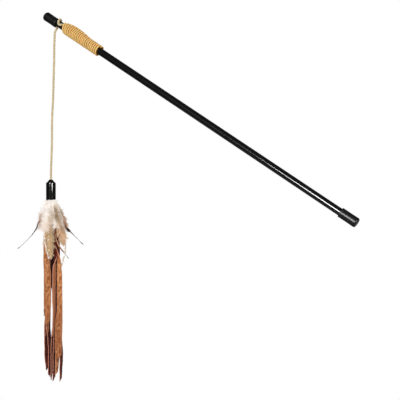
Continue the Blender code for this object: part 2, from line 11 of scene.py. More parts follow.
import bpy
import numpy as np
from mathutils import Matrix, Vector

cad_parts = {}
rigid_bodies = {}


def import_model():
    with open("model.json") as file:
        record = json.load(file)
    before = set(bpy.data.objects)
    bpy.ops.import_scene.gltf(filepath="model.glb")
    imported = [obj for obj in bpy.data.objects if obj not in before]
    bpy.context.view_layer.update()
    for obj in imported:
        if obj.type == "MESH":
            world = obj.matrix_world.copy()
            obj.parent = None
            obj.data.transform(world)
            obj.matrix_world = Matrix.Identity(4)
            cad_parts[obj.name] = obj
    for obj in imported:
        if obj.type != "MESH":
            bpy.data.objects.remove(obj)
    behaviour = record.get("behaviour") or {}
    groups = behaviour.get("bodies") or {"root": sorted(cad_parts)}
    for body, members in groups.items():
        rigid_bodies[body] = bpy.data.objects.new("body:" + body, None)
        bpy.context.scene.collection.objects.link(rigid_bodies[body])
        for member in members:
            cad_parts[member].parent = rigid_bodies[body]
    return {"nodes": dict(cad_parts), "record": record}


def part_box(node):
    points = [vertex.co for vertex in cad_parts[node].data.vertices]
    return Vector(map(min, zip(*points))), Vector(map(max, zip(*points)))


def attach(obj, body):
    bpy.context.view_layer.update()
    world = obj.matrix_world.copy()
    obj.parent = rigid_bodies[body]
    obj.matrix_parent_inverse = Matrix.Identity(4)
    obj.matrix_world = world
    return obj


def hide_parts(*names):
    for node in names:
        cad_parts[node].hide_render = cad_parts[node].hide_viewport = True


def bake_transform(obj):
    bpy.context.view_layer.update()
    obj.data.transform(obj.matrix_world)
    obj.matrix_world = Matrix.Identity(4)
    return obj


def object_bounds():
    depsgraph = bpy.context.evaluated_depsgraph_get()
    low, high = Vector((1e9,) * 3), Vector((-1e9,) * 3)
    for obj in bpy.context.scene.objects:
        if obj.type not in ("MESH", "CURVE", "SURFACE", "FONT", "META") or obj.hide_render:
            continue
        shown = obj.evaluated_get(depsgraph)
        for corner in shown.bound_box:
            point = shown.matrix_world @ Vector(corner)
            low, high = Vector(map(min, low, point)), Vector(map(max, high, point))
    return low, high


for startup_object in list(bpy.data.objects):
    bpy.data.objects.remove(startup_object)

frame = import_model()
cad_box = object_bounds()

rng = np.random.default_rng(4035)

EAST, NORTH, UP = Vector((1, 0, 0)), Vector((0, 1, 0)), Vector((0, 0, 1))
TURN = 2 * math.pi
MM = 0.001

# Rod, caps and winding. The skins swell a little past the model's solids
ROD_RADIUS = 0.00415
GRIP_TO_TIP = 0.355
GRIP_TO_BUTT = 0.0885
FIT_GAP = 0.0003
CAP_RADIUS = 0.0054
CAP_END = 0.0018
TIP_CAP_LENGTH = 0.020
TIP_CAP_SAG = 0.0006
BUTT_CAP_LENGTH = 0.0207
CORD_RADIUS = 0.001
NECK = TIP_CAP_LENGTH + FIT_GAP + CORD_RADIUS
HITCH_RADIUS = 0.0053
WRAP_LEAD = 0.0069
WRAP_START = NECK + WRAP_LEAD
WRAP_TURNS = 22
WRAP_PITCH = 0.0026
WRAP_SLANT = 0.0022
WRAP_SLANT_TOWARDS = math.radians(50)
WRAP_FIRST_ANGLE = math.radians(30)
TAIL_UNDER_WRAP = 0.029

# The twine as it shows: its turns touch, and they swell over the cord's tail and sink past its end
TWINE_RADIUS = 0.00124
TWINE_STEP = 0.00045
TWINE_TURNS = 21
TWINE_FIRST = WRAP_START + 0.0064
TWINE_LAST = WRAP_START + WRAP_TURNS * WRAP_PITCH + 0.0020
SWELL_FROM, SWELL_FULL = 0.026, 0.046
SWELL_LEAST = 0.35
SINK_FROM, SINK_END = 0.050, 0.072

# The turns lie a little unevenly: by how much along the rod and out from it, and the wave of each
STRAY_ALONG = ((0.00012, 5.1), (0.00008, 13.7))
STRAY_OUT = (0.00006, 9.3)

# Directions of the rod and of the lure, whose front looks towards the photograph's camera
CAMERA_AZIMUTH = math.radians(24.04)
LURE_TURN = math.radians(24.0)
ALONG = Vector(frame["record"]["mounts"][0]["axis"])
OVER = Vector((-ALONG.z, 0, ALONG.x))
LURE_SIDE = EAST * math.cos(LURE_TURN) + NORTH * math.sin(LURE_TURN)
LURE_FRONT = EAST * math.sin(LURE_TURN) - NORTH * math.cos(LURE_TURN)

# The lure cap's place and size come from the model
cap_low, cap_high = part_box("lure_cap")
MOUTH = Vector(((cap_low.x + cap_high.x) / 2, (cap_low.y + cap_high.y) / 2, cap_low.z))
LURE_HEIGHT = cap_high.z - cap_low.z
LURE_RADIUS = (cap_high.x - cap_low.x) / 2
LURE_WALL = 0.001
CAP_SKIN = 0.00025
THROAT_RADIUS = 0.00135

# The lobes of the lure cap's mouth. They are deepest on one side
LOBES = 7
LOBE_DEPTH = 0.00032
LOBE_HEIGHT = 0.0045
LOBE_PHASE = 2.3
LOBES_LEAN, LOBES_LEAN_PHASE = 0.7, 2.57


def tone(red, green, blue):
    """A colour as it shows, 0 to 255, turned into the shader's linear values."""
    return tuple(
        c / 12.92 if c <= 0.04045 else ((c + 0.055) / 1.055) ** 2.4
        for c in (red / 255, green / 255, blue / 255)
    )


# Camera: the picture's width and the focal length in pixels, and how far to the right, up and ahead
# of the camera the origin lies
PICTURE_PIXELS = 400
FOCAL_PIXELS = 980
SENSOR_MM = 36.0
ORIGIN_RIGHT, ORIGIN_UP, ORIGIN_AHEAD = 0.0914, 0.0241, 1.0228


def in_scene(name, data):
    """An object of the data, in the scene."""
    obj = bpy.data.objects.new(name, data)
    bpy.context.scene.collection.objects.link(obj)
    return obj


def make_camera():
    """The photograph's level camera, by where it sees the middle of the grip."""
    data = bpy.data.cameras.new("camera")
    data.sensor_width = SENSOR_MM
    data.lens = FOCAL_PIXELS * SENSOR_MM / PICTURE_PIXELS
    camera = in_scene("camera", data)
    right = EAST * math.cos(CAMERA_AZIMUTH) + NORTH * math.sin(CAMERA_AZIMUTH)
    back = EAST * math.sin(CAMERA_AZIMUTH) - NORTH * math.cos(CAMERA_AZIMUTH)
    camera.location = back * ORIGIN_AHEAD - right * ORIGIN_RIGHT - UP * ORIGIN_UP
    camera.rotation_euler = (math.pi / 2, 0, CAMERA_AZIMUTH)
    bpy.context.scene.camera = camera


make_camera()


class Value:
    """What a shader node gives. Python's operators on it add Math nodes."""

    def __init__(self, finish, socket):
        self.finish = finish
        self.socket = socket

    def math(self, operation, *others):
        return self.finish.node("Math", self, *others, operation=operation)

    def __add__(self, other):
        return self.math("ADD", other)

    __radd__ = __add__

    def __sub__(self, other):
        return self.math("SUBTRACT", other)

    def __rsub__(self, other):
        return self.finish.node("Math", other, self, operation="SUBTRACT")

    def __mul__(self, other):
        return self.math("MULTIPLY", other)

    def clamped(self):
        return self.finish.node("Clamp", self, 0.0, 1.0)

    def step(self, low, high):
        """0 below low, 1 above high, smooth between them."""
        return self.finish.node("MapRange", self, low, high, 0.0, 1.0, interpolation_type="SMOOTHSTEP")


class Shading:
    """A node tree whose shading is written as expressions."""

    def __init__(self, tree):
        self.tree = tree

    def fill(self, socket, value):
        """Links what varies to a socket. A fixed value stays on the socket itself."""
        if isinstance(value, Value):
            self.tree.links.new(value.socket, socket)
        else:
            socket.default_value = (*value, 1.0) if socket.type == "RGBA" else value

    def node(self, kind, *inputs, out=None, **named):
        """Adds a node and gives its first output, or the one that out names. Inputs come by place
        or by a name with a capital letter, and the node's settings by their small names."""
        made = self.tree.nodes.new("ShaderNode" + kind)
        for words, value in named.items():
            if words.islower():
                setattr(made, words, value)
            else:
                self.fill(made.inputs[words], value)
        for socket, value in zip([s for s in made.inputs if s.enabled], inputs):
            self.fill(socket, value)
        return Value(self, made.outputs[out] if out else next(s for s in made.outputs if s.enabled))

    def ray(self, kind):
        """Whether the ray that looks is of a kind, such as Camera or Glossy."""
        return self.node("LightPath", out=f"Is {kind} Ray")

    def place(self):
        """Where on the piece a point lies, in its object's own axes."""
        return self.node("TexCoord", out="Object")

    def stored(self, name, what="Fac"):
        """A value that the mesh stores at its points."""
        return self.node("Attribute", attribute_name=name, out=what)

    def parts(self, vector):
        """The three numbers of a vector."""
        made = self.node("SeparateXYZ", vector)
        return [Value(self, socket) for socket in made.socket.node.outputs]

    def scaled(self, vector, *scales):
        return self.node("VectorMath", vector, scales, operation="MULTIPLY")

    def noise(self, vector, scale, detail=3.0, rough=0.55):
        return self.node("TexNoise", vector, scale, detail, rough)

    def mix(self, share, low, high, blend="MIX"):
        """Mixes two colours."""
        return self.node("Mix", share, low, high, data_type="RGBA", blend_type=blend)

    def bump(self, height, strength, distance):
        return self.node("Bump", strength, distance, Height=height)

    def surface(self, shader):
        """Makes a shader the one that shows."""
        kinds = ("OUTPUT_MATERIAL", "OUTPUT_WORLD")
        output = next(n for n in self.tree.nodes if n.type in kinds)
        self.fill(output.inputs["Surface"], shader)


class Finish(Shading):
    """A material with Blender's usual surface shader."""

    def __init__(self, name, **inputs):
        self.material = bpy.data.materials.new(name)
        self.material.use_nodes = True
        super().__init__(self.material.node_tree)
        self.shader = self.tree.nodes["Principled BSDF"]
        self.feed(**inputs)

    def feed(self, **inputs):
        """Fills the shader's inputs, whose names have underlines for spaces."""
        for words, value in inputs.items():
            self.fill(self.shader.inputs[words.replace("_", " ")], value)
        return self.material


def ease(share):
    """A smooth step from 0 to 1, for numbers and arrays."""
    share = np.clip(share, 0.0, 1.0)
    return share * share * (3 - 2 * share)


def unit(vectors):
    """Vectors of length 1."""
    vectors = np.asarray(vectors, float)
    return vectors / np.maximum(np.linalg.norm(vectors, axis=-1, keepdims=True), 1e-12)


class Tubes:
    """Collects closed tubes, given ring by ring, into one mesh with values stored at its points."""

    def __init__(self):
        self.points, self.corners, self.sizes = [], [], []
        self.stored = {}
        self.count = 0

    def add(self, rings, **stored):
        """rings is an array of tubes, rings, ring points and 3, or of one tube without the first.
        Stored values fit its shape."""
        rings = rings.reshape(-1, *rings.shape[-3:])
        tubes, lengths, around, _ = rings.shape
        ids = self.count + np.arange(tubes * lengths * around).reshape(tubes, lengths, around)
        after = np.roll(ids, -1, axis=2)
        sides = np.stack([ids[:, :-1], after[:, :-1], after[:, 1:], ids[:, 1:]], axis=-1)
        self.corners.append(sides.reshape(-1))
        self.sizes.append(np.full(sides.size // 4, 4))
        for cap in (ids[:, 0, ::-1], ids[:, -1]):
            self.corners.append(cap.reshape(-1))
            self.sizes.append(np.full(tubes, around))
        self.points.append(rings.reshape(-1, 3))
        for key, value in stored.items():
            vector = key in ("tint", "lie")
            value = np.broadcast_to(value, rings.shape if vector else rings.shape[:-1])
            self.stored.setdefault(key, []).append(value.reshape(-1, 3 if vector else 1))
        self.count += rings.size // 3

    def build(self, name, finish):
        """The mesh as an object in the scene."""
        mesh = bpy.data.meshes.new(name)
        points = np.concatenate(self.points)
        corners = np.concatenate(self.corners)
        sizes = np.concatenate(self.sizes)
        mesh.vertices.add(len(points))
        mesh.vertices.foreach_set("co", points.astype(np.float32).ravel())
        mesh.loops.add(len(corners))
        mesh.loops.foreach_set("vertex_index", corners.astype(np.int32))
        mesh.polygons.add(len(sizes))
        starts = np.concatenate([[0], np.cumsum(sizes)[:-1]])
        mesh.polygons.foreach_set("loop_start", starts.astype(np.int32))
        mesh.update(calc_edges=True)
        for key, values in self.stored.items():
            values = np.concatenate(values)
            kind = "FLOAT_VECTOR" if values.shape[1] == 3 else "FLOAT"
            attribute = mesh.attributes.new(key, kind, "POINT")
            field = "vector" if kind == "FLOAT_VECTOR" else "value"
            attribute.data.foreach_set(field, values.astype(np.float32).ravel())
        mesh.shade_smooth()
        return add_object(name, mesh, finish)


def dress(mesh, finish):
    mesh.materials.clear()
    mesh.materials.append(finish)


def add_object(name, mesh, finish):
    dress(mesh, finish)
    return in_scene(name, mesh)


def rigid(piece, slot, body, *nodes):
    """Carries a rigid piece on the body given, and hides the model's nodes that it shows. slot, what the
    piece is made of, is not used.
    """
    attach(piece, body)
    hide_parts(*nodes)


def bending(piece, slot, upper, lower, start, end, *nodes):
    """Bakes a piece's place into its mesh and hides the model's nodes that it shows. slot, upper, lower,
    start and end, what it is made of, the bodies it would bend between and where, are not used.
    """
    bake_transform(piece)
    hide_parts(*nodes)


def round_rings(centres, heading, first, radii, sides, flat=1.0):
    """Rings round centre lines, square to the heading. Their points start in the first direction."""
    angles = np.arange(sides) / sides * TURN
    radii = np.broadcast_to(radii, centres.shape[:-1])[..., None, None]
    spread = first[..., None, :] * np.cos(angles)[:, None]
    spread = spread + np.cross(heading, first)[..., None, :] * (np.sin(angles) * flat)[:, None]
    return centres[..., None, :] + spread * radii


def directions(lines):
    """The direction of centre lines at each of their points."""
    return unit(np.gradient(lines, axis=-2))


def squared(vectors, heading):
    """Vectors turned square to the heading at their points."""
    return unit(vectors - heading * np.sum(vectors * heading, axis=-1, keepdims=True))


def as_array(vectors):
    return np.array([tuple(v) for v in vectors])


def running_length(line):
    """The distance along a line at each of its points."""
    steps = np.linalg.norm(np.diff(line, axis=0), axis=1)
    return np.concatenate([[0.0], np.cumsum(steps)])


class Path:
    """A smooth curve through points, read by the distance along it."""

    STEPS = 12

    def __init__(self, points):
        points = [Vector(p) for p in points]
        first = points[0] * 2 - points[1]
        last = points[-1] * 2 - points[-2]
        ends = [first, *points, last]
        line = []
        for a, b, c, d in zip(ends, ends[1:], ends[2:], ends[3:]):
            line += [self.between(a, b, c, d, step / self.STEPS) for step in range(self.STEPS)]
        line.append(points[-1])
        self.line = as_array(line)
        self.marks = running_length(self.line)
        self.length = float(self.marks[-1])

    @staticmethod
    def between(a, b, c, d, t):
        """A point of the curve from b to c whose slopes follow the points' real spacing."""
        near, mid, far = ((q - p).length for p, q in ((a, b), (b, c), (c, d)))
        leave = ((b - a) / near - (c - a) / (near + mid) + (c - b) / mid) * mid
        arrive = ((c - b) / mid - (d - b) / (mid + far) + (d - c) / far) * mid
        t2, t3 = t * t, t * t * t
        start = b * (2 * t3 - 3 * t2 + 1) + leave * (t3 - 2 * t2 + t)
        return start + c * (3 * t2 - 2 * t3) + arrive * (t3 - t2)

    def at(self, distances):
        """Points at distances along the curve, as an array."""
        return np.stack([np.interp(distances, self.marks, self.line[:, i]) for i in range(3)], -1)


def carried_frames(line, start):
    """Two directions square to a line at each point, carried along it without twist."""
    heading = directions(line)
    first = np.zeros_like(line)
    now = np.asarray(start, float)
    for i, ahead in enumerate(heading):
        now = unit(now - ahead * np.dot(now, ahead))
        first[i] = now
    return first, np.cross(heading, first)


def rod_point(from_tip, angle=0.0, radius=0.0):
    """A point beside the rod's axis. The angle turns from its upper side towards its front."""
    outward = OVER * math.cos(angle) - NORTH * math.sin(angle)
    return ALONG * (from_tip - GRIP_TO_TIP) + outward * radius


def lure_point(side, front, down):
    """A point by its distances from the middle of the lure cap's mouth."""
    return MOUTH + LURE_SIDE * side + LURE_FRONT * front - UP * down


def ring_direction(degrees):
    """A level direction out of the lure's axis, from its side towards its front."""
    angle = math.radians(degrees)
    return LURE_SIDE * math.cos(angle) + LURE_FRONT * math.sin(angle)


# Laid ropes: how many strands, the length that they go round in, how far a strand's middle lies
# from the rope's, and a strand's radius
Rope = namedtuple("Rope", "strands lay reach radius")
CORD = Rope(2, 0.0060, 0.00066, 0.00078)
TWINE = Rope(3, 0.0075, 0.00056, 0.00070)
STRAND_SIDES = 8

# Stray fibres: the angles round the rope and the distance from its middle at which they leave it,
# their greatest length, and how much they curl
Fibres = namedtuple("Fibres", "angles root length curl")
CORD_FIBRES = Fibres((0, TURN), CORD_RADIUS * 0.85, 0.0011, 0.3)
TWINE_FIBRES = Fibres((-1.2, 1.2), TWINE_RADIUS * 0.9, 0.0013, 0.7)
CORD_FIBRES_PER_METRE = 2600
TWINE_FIBRE_COUNT = 260
FIBRE_RADIUS = 0.00003
FIBRE_TIP = 0.35
FIBRE_POINTS = 4
FIBRE_LENGTHS, FIBRE_AIMS, FIBRE_LEAN = (0.35, 1.0), (0.3, 1.0), 0.9
ASKEW = np.array([0.3, 0.5, 0.8])

# Cord
CORD_STEP = 0.00035
EXIT_BEND = Vector((-0.0001, 0.0012, -0.0021))
EXIT_DROP = Vector((-0.0012, 0.0001, -0.0053))
THROAT_REACH = 0.0009

# The held end of the cord, with degrees round the rod from its upper side towards its front: the
# tail under the twine, the bare stretch to the cap's rim, and the turn over the top
TAIL_ROUTE = [(1.0, 0), (0.655, 0), (0.414, 10), (0.224, 34), (0.062, 64)]
LEAD_ROUTE = [(0.754, 84), (0.435, 66), (0.16, 32), (0.03, -4)]
NECK_TURN = (-40, -76, -108, -136)

# The free cord's route as it hangs, measured from where it leaves the rod
CORD_ROUTE = [
    (0.0, 0.0, 0.0),
    (-0.0004, -0.0002, -0.0060),
    (-0.0008, -0.0003, -0.0150),
    (-0.0010, -0.0002, -0.0240),
    (-0.0013, 0.0001, -0.0330),
    (-0.0018, 0.0003, -0.0443),
    (-0.0022, 0.0003, -0.0560),
    (-0.0024, 0.0001, -0.0676),
    (-0.0026, -0.0002, -0.0792),
    (-0.0032, -0.0004, -0.0908),
    (-0.0039, -0.0003, -0.1024),
    (-0.0042, 0.0, -0.1141),
    (-0.0044, 0.0003, -0.1257),
    (-0.0047, 0.0003, -0.1373),
    (-0.0051, 0.0002, -0.1489),
    (-0.0055, 0.0, -0.1605),
    (-0.0056, 0.0, -0.1680),
    (-0.0056, 0.0, -0.1713),
]

# The visual cord is cut between its joints, by distances along its free length: each piece's name,
# its ends, the bodies it joins, where its bend starts and ends, and the model's stretches it shows
CORD_PIECES = [
    ("cord_top", 0.0, 0.034, "wand", "upper_cord", 0.0, 0.012, ["cord_1"]),
    ("cord_upper_bend", 0.034, 0.078, "upper_cord", "middle_cord", 0.036, 0.056, ["cord_1", "cord_2"]),
    ("cord_lower_bend", 0.078, 0.142, "middle_cord", "lower_cord", 0.098, 0.122, ["cord_2", "cord_3"]),
    ("cord_foot", 0.142, math.inf, "lower_cord", None, None, None, ["cord_3"]),
]


def hitch_route():
    """The held cord's way: distances from the rod's tip, and angles round the rod."""
    route = [(WRAP_START + TAIL_UNDER_WRAP * share, angle) for share, angle in TAIL_ROUTE]
    route += [(NECK + WRAP_LEAD * share, angle) for share, angle in LEAD_ROUTE]
    route += [(NECK, angle) for angle in NECK_TURN]
    return [(from_tip, math.radians(angle)) for from_tip, angle in route]


def add_fibres(tubes, line, first, second, span, count, kind):
    """Stray fibres at random points of a rope's line, within a span of them."""
    picks = rng.integers(*span, count)
    angle = rng.uniform(*kind.angles, count)[:, None]
    outward = first[picks] * np.cos(angle) + second[picks] * np.sin(angle)
    starts = line[picks] + outward * kind.root
    shares = np.linspace(0, 1, FIBRE_POINTS)
    lengths = rng.uniform(*FIBRE_LENGTHS, count)[:, None] * kind.length * shares
    aim = outward * rng.uniform(*FIBRE_AIMS, (count, 1))
    aim = unit(aim + directions(line)[picks] * rng.normal(0, FIBRE_LEAN, (count, 1)))
    curl = rng.normal(0, kind.curl, (count, 3))[:, None] * shares[:, None]
    fibres = starts[:, None] + (aim[:, None] + curl) * lengths[..., None]
    ahead = directions(fibres)
    side = unit(np.cross(ahead, ASKEW))
    radii = FIBRE_RADIUS * np.linspace(1, FIBRE_TIP, FIBRE_POINTS)
    rings = round_rings(fibres, ahead, side, radii, 3)
    tubes.add(rings, lie=(0.0, 0.2, 0.5), crown=1.0)


def laid_strands(tubes, rope, line, first, second, marks, turns_touch=False):
    """A rope's strands round its line, each a closed tube that keeps its phase by the marks."""
    around, phase = np.meshgrid(np.arange(STRAND_SIDES) / STRAND_SIDES, marks / rope.lay)
    for strand in range(rope.strands):
        share = strand / rope.strands
        angle = (marks / rope.lay + share) * TURN
        outward = first * np.cos(angle)[:, None] + second * np.sin(angle)[:, None]
        centres = line + outward * rope.reach
        ahead = directions(centres)
        out = squared(outward, ahead)
        rings = round_rings(centres, ahead, out, rope.radius, STRAND_SIDES)
        crown = np.einsum("ijk,ik->ij", rings - line[:, None], first) / (rope.reach + rope.radius)
        lie = np.stack([around, np.full_like(around, share), phase], axis=-1)
        tubes.add(rings, lie=lie, crown=crown if turns_touch else 1.0)


def laid_finish(name, dark, light, warm, fibre_scale):
    """Twisted plant fibre: paler on the crowns, darker in the grooves and between the turns, which is
    painted shade, with warm patches.
    """
    finish = Finish(name, Specular_IOR_Level=0.25)
    around, strand, lay = finish.parts(finish.stored("lie", "Vector"))
    groove = (1 - (around * TURN).math("COSINE")) * 0.5
    place = finish.place()
    spot = finish.node("CombineXYZ", around * 3, strand * 7, lay * 1.6)
    grain = finish.noise(spot, fibre_scale, 4.0, 0.7)
    patches = finish.noise(place, 160.0, 2.0)
    colour = finish.mix((grain * 1.5 - 0.3).clamped(), dark, light)
    colour = finish.mix(patches.step(0.52, 0.70) * 0.55, colour, warm)
    # painted shade in the grooves between the strands
    colour = finish.mix(groove.step(0.55, 0.98) * 0.30, colour, dark)
    # painted shade where one turn meets the next, fading out towards each turn's crown
    painted_shade_between_turns = tuple(c * 0.5 for c in dark)
    colour = finish.mix(finish.stored("crown").step(0.05, 0.70), painted_shade_between_turns, colour)
    height = grain * 0.6 + finish.noise(place, 5200.0, 2.0) * 0.4
    return finish.feed(
        Base_Color=colour,
        Roughness=0.74 + grain * 0.2,
        Normal=finish.bump(height, 0.55, 0.00025),
    )


def make_cord():
    """The cord as one laid rope, cut where its joints allow it to bend."""
    dark, light, warm = tone(150, 116, 70), tone(255, 246, 206), tone(244, 218, 162)
    finish = laid_finish("tan_cord", dark, light, warm, 5.0)
    underside = rod_point(NECK, math.pi, HITCH_RADIUS)
    exit_point = underside + EXIT_DROP
    held = [rod_point(s, a, HITCH_RADIUS) for s, a in hitch_route()]
    free = [exit_point + Vector(spot) for spot in CORD_ROUTE]
    throat_end = free[-1] - UP * THROAT_REACH
    path = Path([*held, underside + EXIT_BEND, *free, throat_end])
    leaves = Path([*held, underside + EXIT_BEND, exit_point]).length
    marks = np.linspace(0, path.length, round(path.length / CORD_STEP) + 1)
    line = path.at(marks)
    first, second = carried_frames(line, OVER)

    def stretch(name, start, end):
        low = int(np.searchsorted(marks, start))
        take = slice(low, int(np.searchsorted(marks, end)) + 1)
        tubes = Tubes()
        laid_strands(tubes, CORD, line[take], first[take], second[take], marks[take])
        count = int((marks[take][-1] - marks[low]) * CORD_FIBRES_PER_METRE)
        span = (low, low + len(line[take]))
        add_fibres(tubes, line, first, second, span, count, CORD_FIBRES)
        return tubes.build(name, finish), line[take]

    hitch, _ = stretch("cord_hitch_rope", 0.0, leaves)
    rigid(hitch, "cord", "wand", "cord_hitch")
    for name, start, end, upper, lower, bend_from, bend_to, nodes in CORD_PIECES:
        piece, centre = stretch(name, leaves + start, leaves + end)
        if lower:
            ends = path.at(np.array([leaves + bend_from, leaves + bend_to]))
            bending(piece, "cord", upper, lower, *ends, *nodes)
        else:
            rigid(piece, "cord", upper, *nodes)


make_cord()


def tail_angle(from_tip):
    """Where round the rod the covered tail lies, at a distance from the tip."""
    covered = hitch_route()[len(TAIL_ROUTE) :: -1]
    return np.interp(from_tip, [s for s, _ in covered], [a for _, a in covered])


def wrap_radius(angle, from_tip):
    """How far the twine's centre lies from the axis: round the rod, or taut over the tail."""
    bare = ROD_RADIUS + TWINE_RADIUS
    bump = CORD_RADIUS + TWINE_RADIUS
    lean = abs(math.remainder(angle - tail_angle(from_tip), TURN))
    flank = math.acos((bare - bump) / HITCH_RADIUS)
    touch = math.atan2(bump * math.sin(flank), HITCH_RADIUS + bump * math.cos(flank))
    if lean < touch:
        taut = HITCH_RADIUS * math.cos(lean)
        taut += math.sqrt(bump**2 - (HITCH_RADIUS * math.sin(lean)) ** 2)
    elif lean < flank:
        taut = bare / math.cos(flank - lean)
    else:
        taut = bare
    swell = SWELL_LEAST + (1 - SWELL_LEAST) * ease((from_tip - SWELL_FROM) / (SWELL_FULL - SWELL_FROM))
    sink = ease((from_tip - SINK_FROM) / (SINK_END - SINK_FROM))
    return bare + (taut - bare) * float(swell * (1 - sink))


def wrap_point(turns):
    """The twine's centre after a number of turns, and the direction out of the rod there."""
    angle = WRAP_FIRST_ANGLE + TURN * turns
    share = turns / TWINE_TURNS
    from_tip = TWINE_FIRST + (TWINE_LAST - TWINE_FIRST) * share
    from_tip -= WRAP_SLANT * (1 - share) * math.cos(angle - WRAP_SLANT_TOWARDS)
    from_tip += sum(size * math.sin(turns * wave) for size, wave in STRAY_ALONG)
    size, wave = STRAY_OUT
    radius = wrap_radius(angle, from_tip) + size * math.sin(turns * wave)
    point = rod_point(from_tip, angle, radius)
    return point, rod_point(from_tip, angle, radius + 1) - point


def make_winding():
    """The twine winding: three strands laid into one twine, its turns side by side."""
    dark, light, warm = tone(208, 142, 62), tone(255, 234, 158), tone(255, 176, 104)
    finish = laid_finish("honey_twine", dark, light, warm, 3.0)
    around_rod = TURN * (ROD_RADIUS + TWINE_RADIUS)
    steps = round(TWINE_TURNS * around_rod / TWINE_STEP)
    spots = [wrap_point(TWINE_TURNS * i / steps) for i in range(steps + 1)]
    line, outward = (as_array(vectors) for vectors in zip(*spots))
    heading = directions(line)
    first = squared(outward, heading)
    second = np.cross(heading, first)
    tubes = Tubes()
    laid_strands(tubes, TWINE, line, first, second, running_length(line), turns_touch=True)
    add_fibres(tubes, line, first, second, (0, len(line)), TWINE_FIBRE_COUNT, TWINE_FIBRES)
    winding = tubes.build("twine_turns", finish)
    rigid(winding, "twine", "wand", "twine_wrap")


make_winding()


ROUND_STEPS = 72
SHARP_EDGE = math.radians(40)
MERGE_REACH = 0.00001
DRIFT_WAVE, DRIFT_TURN = 310, 140


def turned(name, profile, finish, at, axis, shape=None, ring=False):
    """A round piece from a profile of (radius, height), with its shape's small unevenness."""
    edges = [(i, i + 1) for i in range(len(profile) - 1)]
    if ring:
        edges.append((len(profile) - 1, 0))
    mesh = bpy.data.meshes.new(name + "_profile")
    mesh.from_pydata([(radius, 0.0, height) for radius, height in profile], edges, [])
    obj = in_scene(name + "_profile", mesh)
    screw = obj.modifiers.new("Turn", "SCREW")
    screw.steps = screw.render_steps = ROUND_STEPS
    screw.use_merge_vertices = True
    screw.merge_threshold = MERGE_REACH
    graph = bpy.context.evaluated_depsgraph_get()
    made = bpy.data.meshes.new_from_object(obj.evaluated_get(graph))
    bpy.data.objects.remove(obj)
    made.name = name
    if shape:
        for vert in made.vertices:
            vert.co = shape(vert.co)
    made.shade_smooth()
    made.set_sharp_from_angle(angle=SHARP_EDGE)
    piece = add_object(name, made, finish)
    piece.location = at
    piece.rotation_mode = "QUATERNION"
    piece.rotation_quaternion = UP.rotation_difference(axis)
    return piece


def arc(radius, height, rounding, start, end, steps=8):
    """Points of a rounded corner round a centre, from one angle above the side to another."""
    angles = [math.radians(start + (end - start) * i / steps) for i in range(steps + 1)]
    return [(radius + rounding * math.cos(a), height + rounding * math.sin(a)) for a in angles]


def black_finish(name, base, roughness, specular, streaks, bump, coat):
    """Black plastic: fine marks along the piece, a little dust and uneven gloss. streaks is how
    drawn out the marks are, and coat is the skin's own roughness and refraction."""
    finish = Finish(name, Specular_IOR_Level=specular, Coat_Weight=1.0)
    finish.feed(Coat_Roughness=coat[0], Coat_IOR=coat[1])
    place = finish.place()
    lines = finish.noise(finish.scaled(place, 1.0, 1.0, streaks), 900.0, 3.0)
    cloud = finish.noise(place, 90.0, 3.0)
    dust = finish.noise(place, 2600.0, 2.0).step(0.66, 0.80)
    colour = finish.mix((cloud * 0.9).clamped(), base, tuple(c * 2.2 + 0.0004 for c in base))
    colour = finish.mix(dust * 0.02, colour, tone(120, 118, 112))
    return finish.feed(
        Base_Color=colour,
        Roughness=(roughness - 0.06) + cloud * 0.12 + dust * 0.15,
        Normal=finish.bump(lines * 0.7 + cloud * 0.3, bump, 0.00008),
    )


def make_rod():
    finish = black_finish("black_rod", tone(6, 6, 6), 0.34, 0.20, 0.02, 0.05, (0.10, 1.9))
    start, end = CAP_END + FIT_GAP, GRIP_TO_TIP + GRIP_TO_BUTT - CAP_END - FIT_GAP
    half = (end - start) / 2
    chamfer, inner = 0.0003, 0.0025
    upper = [(inner, half), (ROD_RADIUS - chamfer, half), (ROD_RADIUS, half - chamfer)]
    profile = upper + [(radius, -height) for radius, height in reversed(upper)]
    rod = turned("rod_tube", profile, finish, rod_point(start + half), -ALONG, ring=True)
    rigid(rod, "rod", "wand", "rod")


glossy_vinyl = black_finish("black_vinyl", tone(6, 6, 5), 0.50, 0.08, 0.6, 0.03, (0.08, 1.75))
satin_vinyl = black_finish("satin_vinyl", tone(8, 10, 9), 0.50, 0.08, 0.6, 0.02, (0.34, 1.75))


def uneven(spot, amount):
    """The softness of dipped vinyl: the radius drifts a little round and along the piece."""
    around = math.atan2(spot.y, spot.x)
    drift = math.sin(2 * around + spot.z * DRIFT_WAVE) * math.cos(around + spot.z * DRIFT_TURN)
    grow = 1 + amount * drift
    return Vector((spot.x * grow, spot.y * grow, spot.z))


def make_end_cap(name, node, length, rounding, crown, outward, at):
    """A dipped vinyl cap: a crowned end, a soft waist and a rolled rim."""
    inner, outer = ROD_RADIUS + 0.0001, CAP_RADIUS
    lip = 0.00045
    profile = [(0.0, 0.0), ((outer - rounding) * 0.5, -crown * 0.2), (outer - rounding, -crown)]
    profile += [(r, z - crown) for r, z in arc(outer - rounding, -rounding, rounding, 80, 0)]
    profile += [
        (outer - 0.00010, -length * 0.45),
        (outer - 0.00012, -length * 0.75),
        (outer - 0.00004, -length + 0.0016),
    ]
    profile += arc(outer - lip + 0.00006, -length + lip, lip, 0, -90, 5)
    profile += [(inner + 0.0002, -length), (inner, -length + 0.0004)]
    profile += [(inner, -CAP_END), (0.0, -CAP_END)]
    cap = turned(name, profile, satin_vinyl, at, outward, shape=lambda spot: uneven(spot, 0.006))
    rigid(cap, "cap_vinyl", "wand", node)


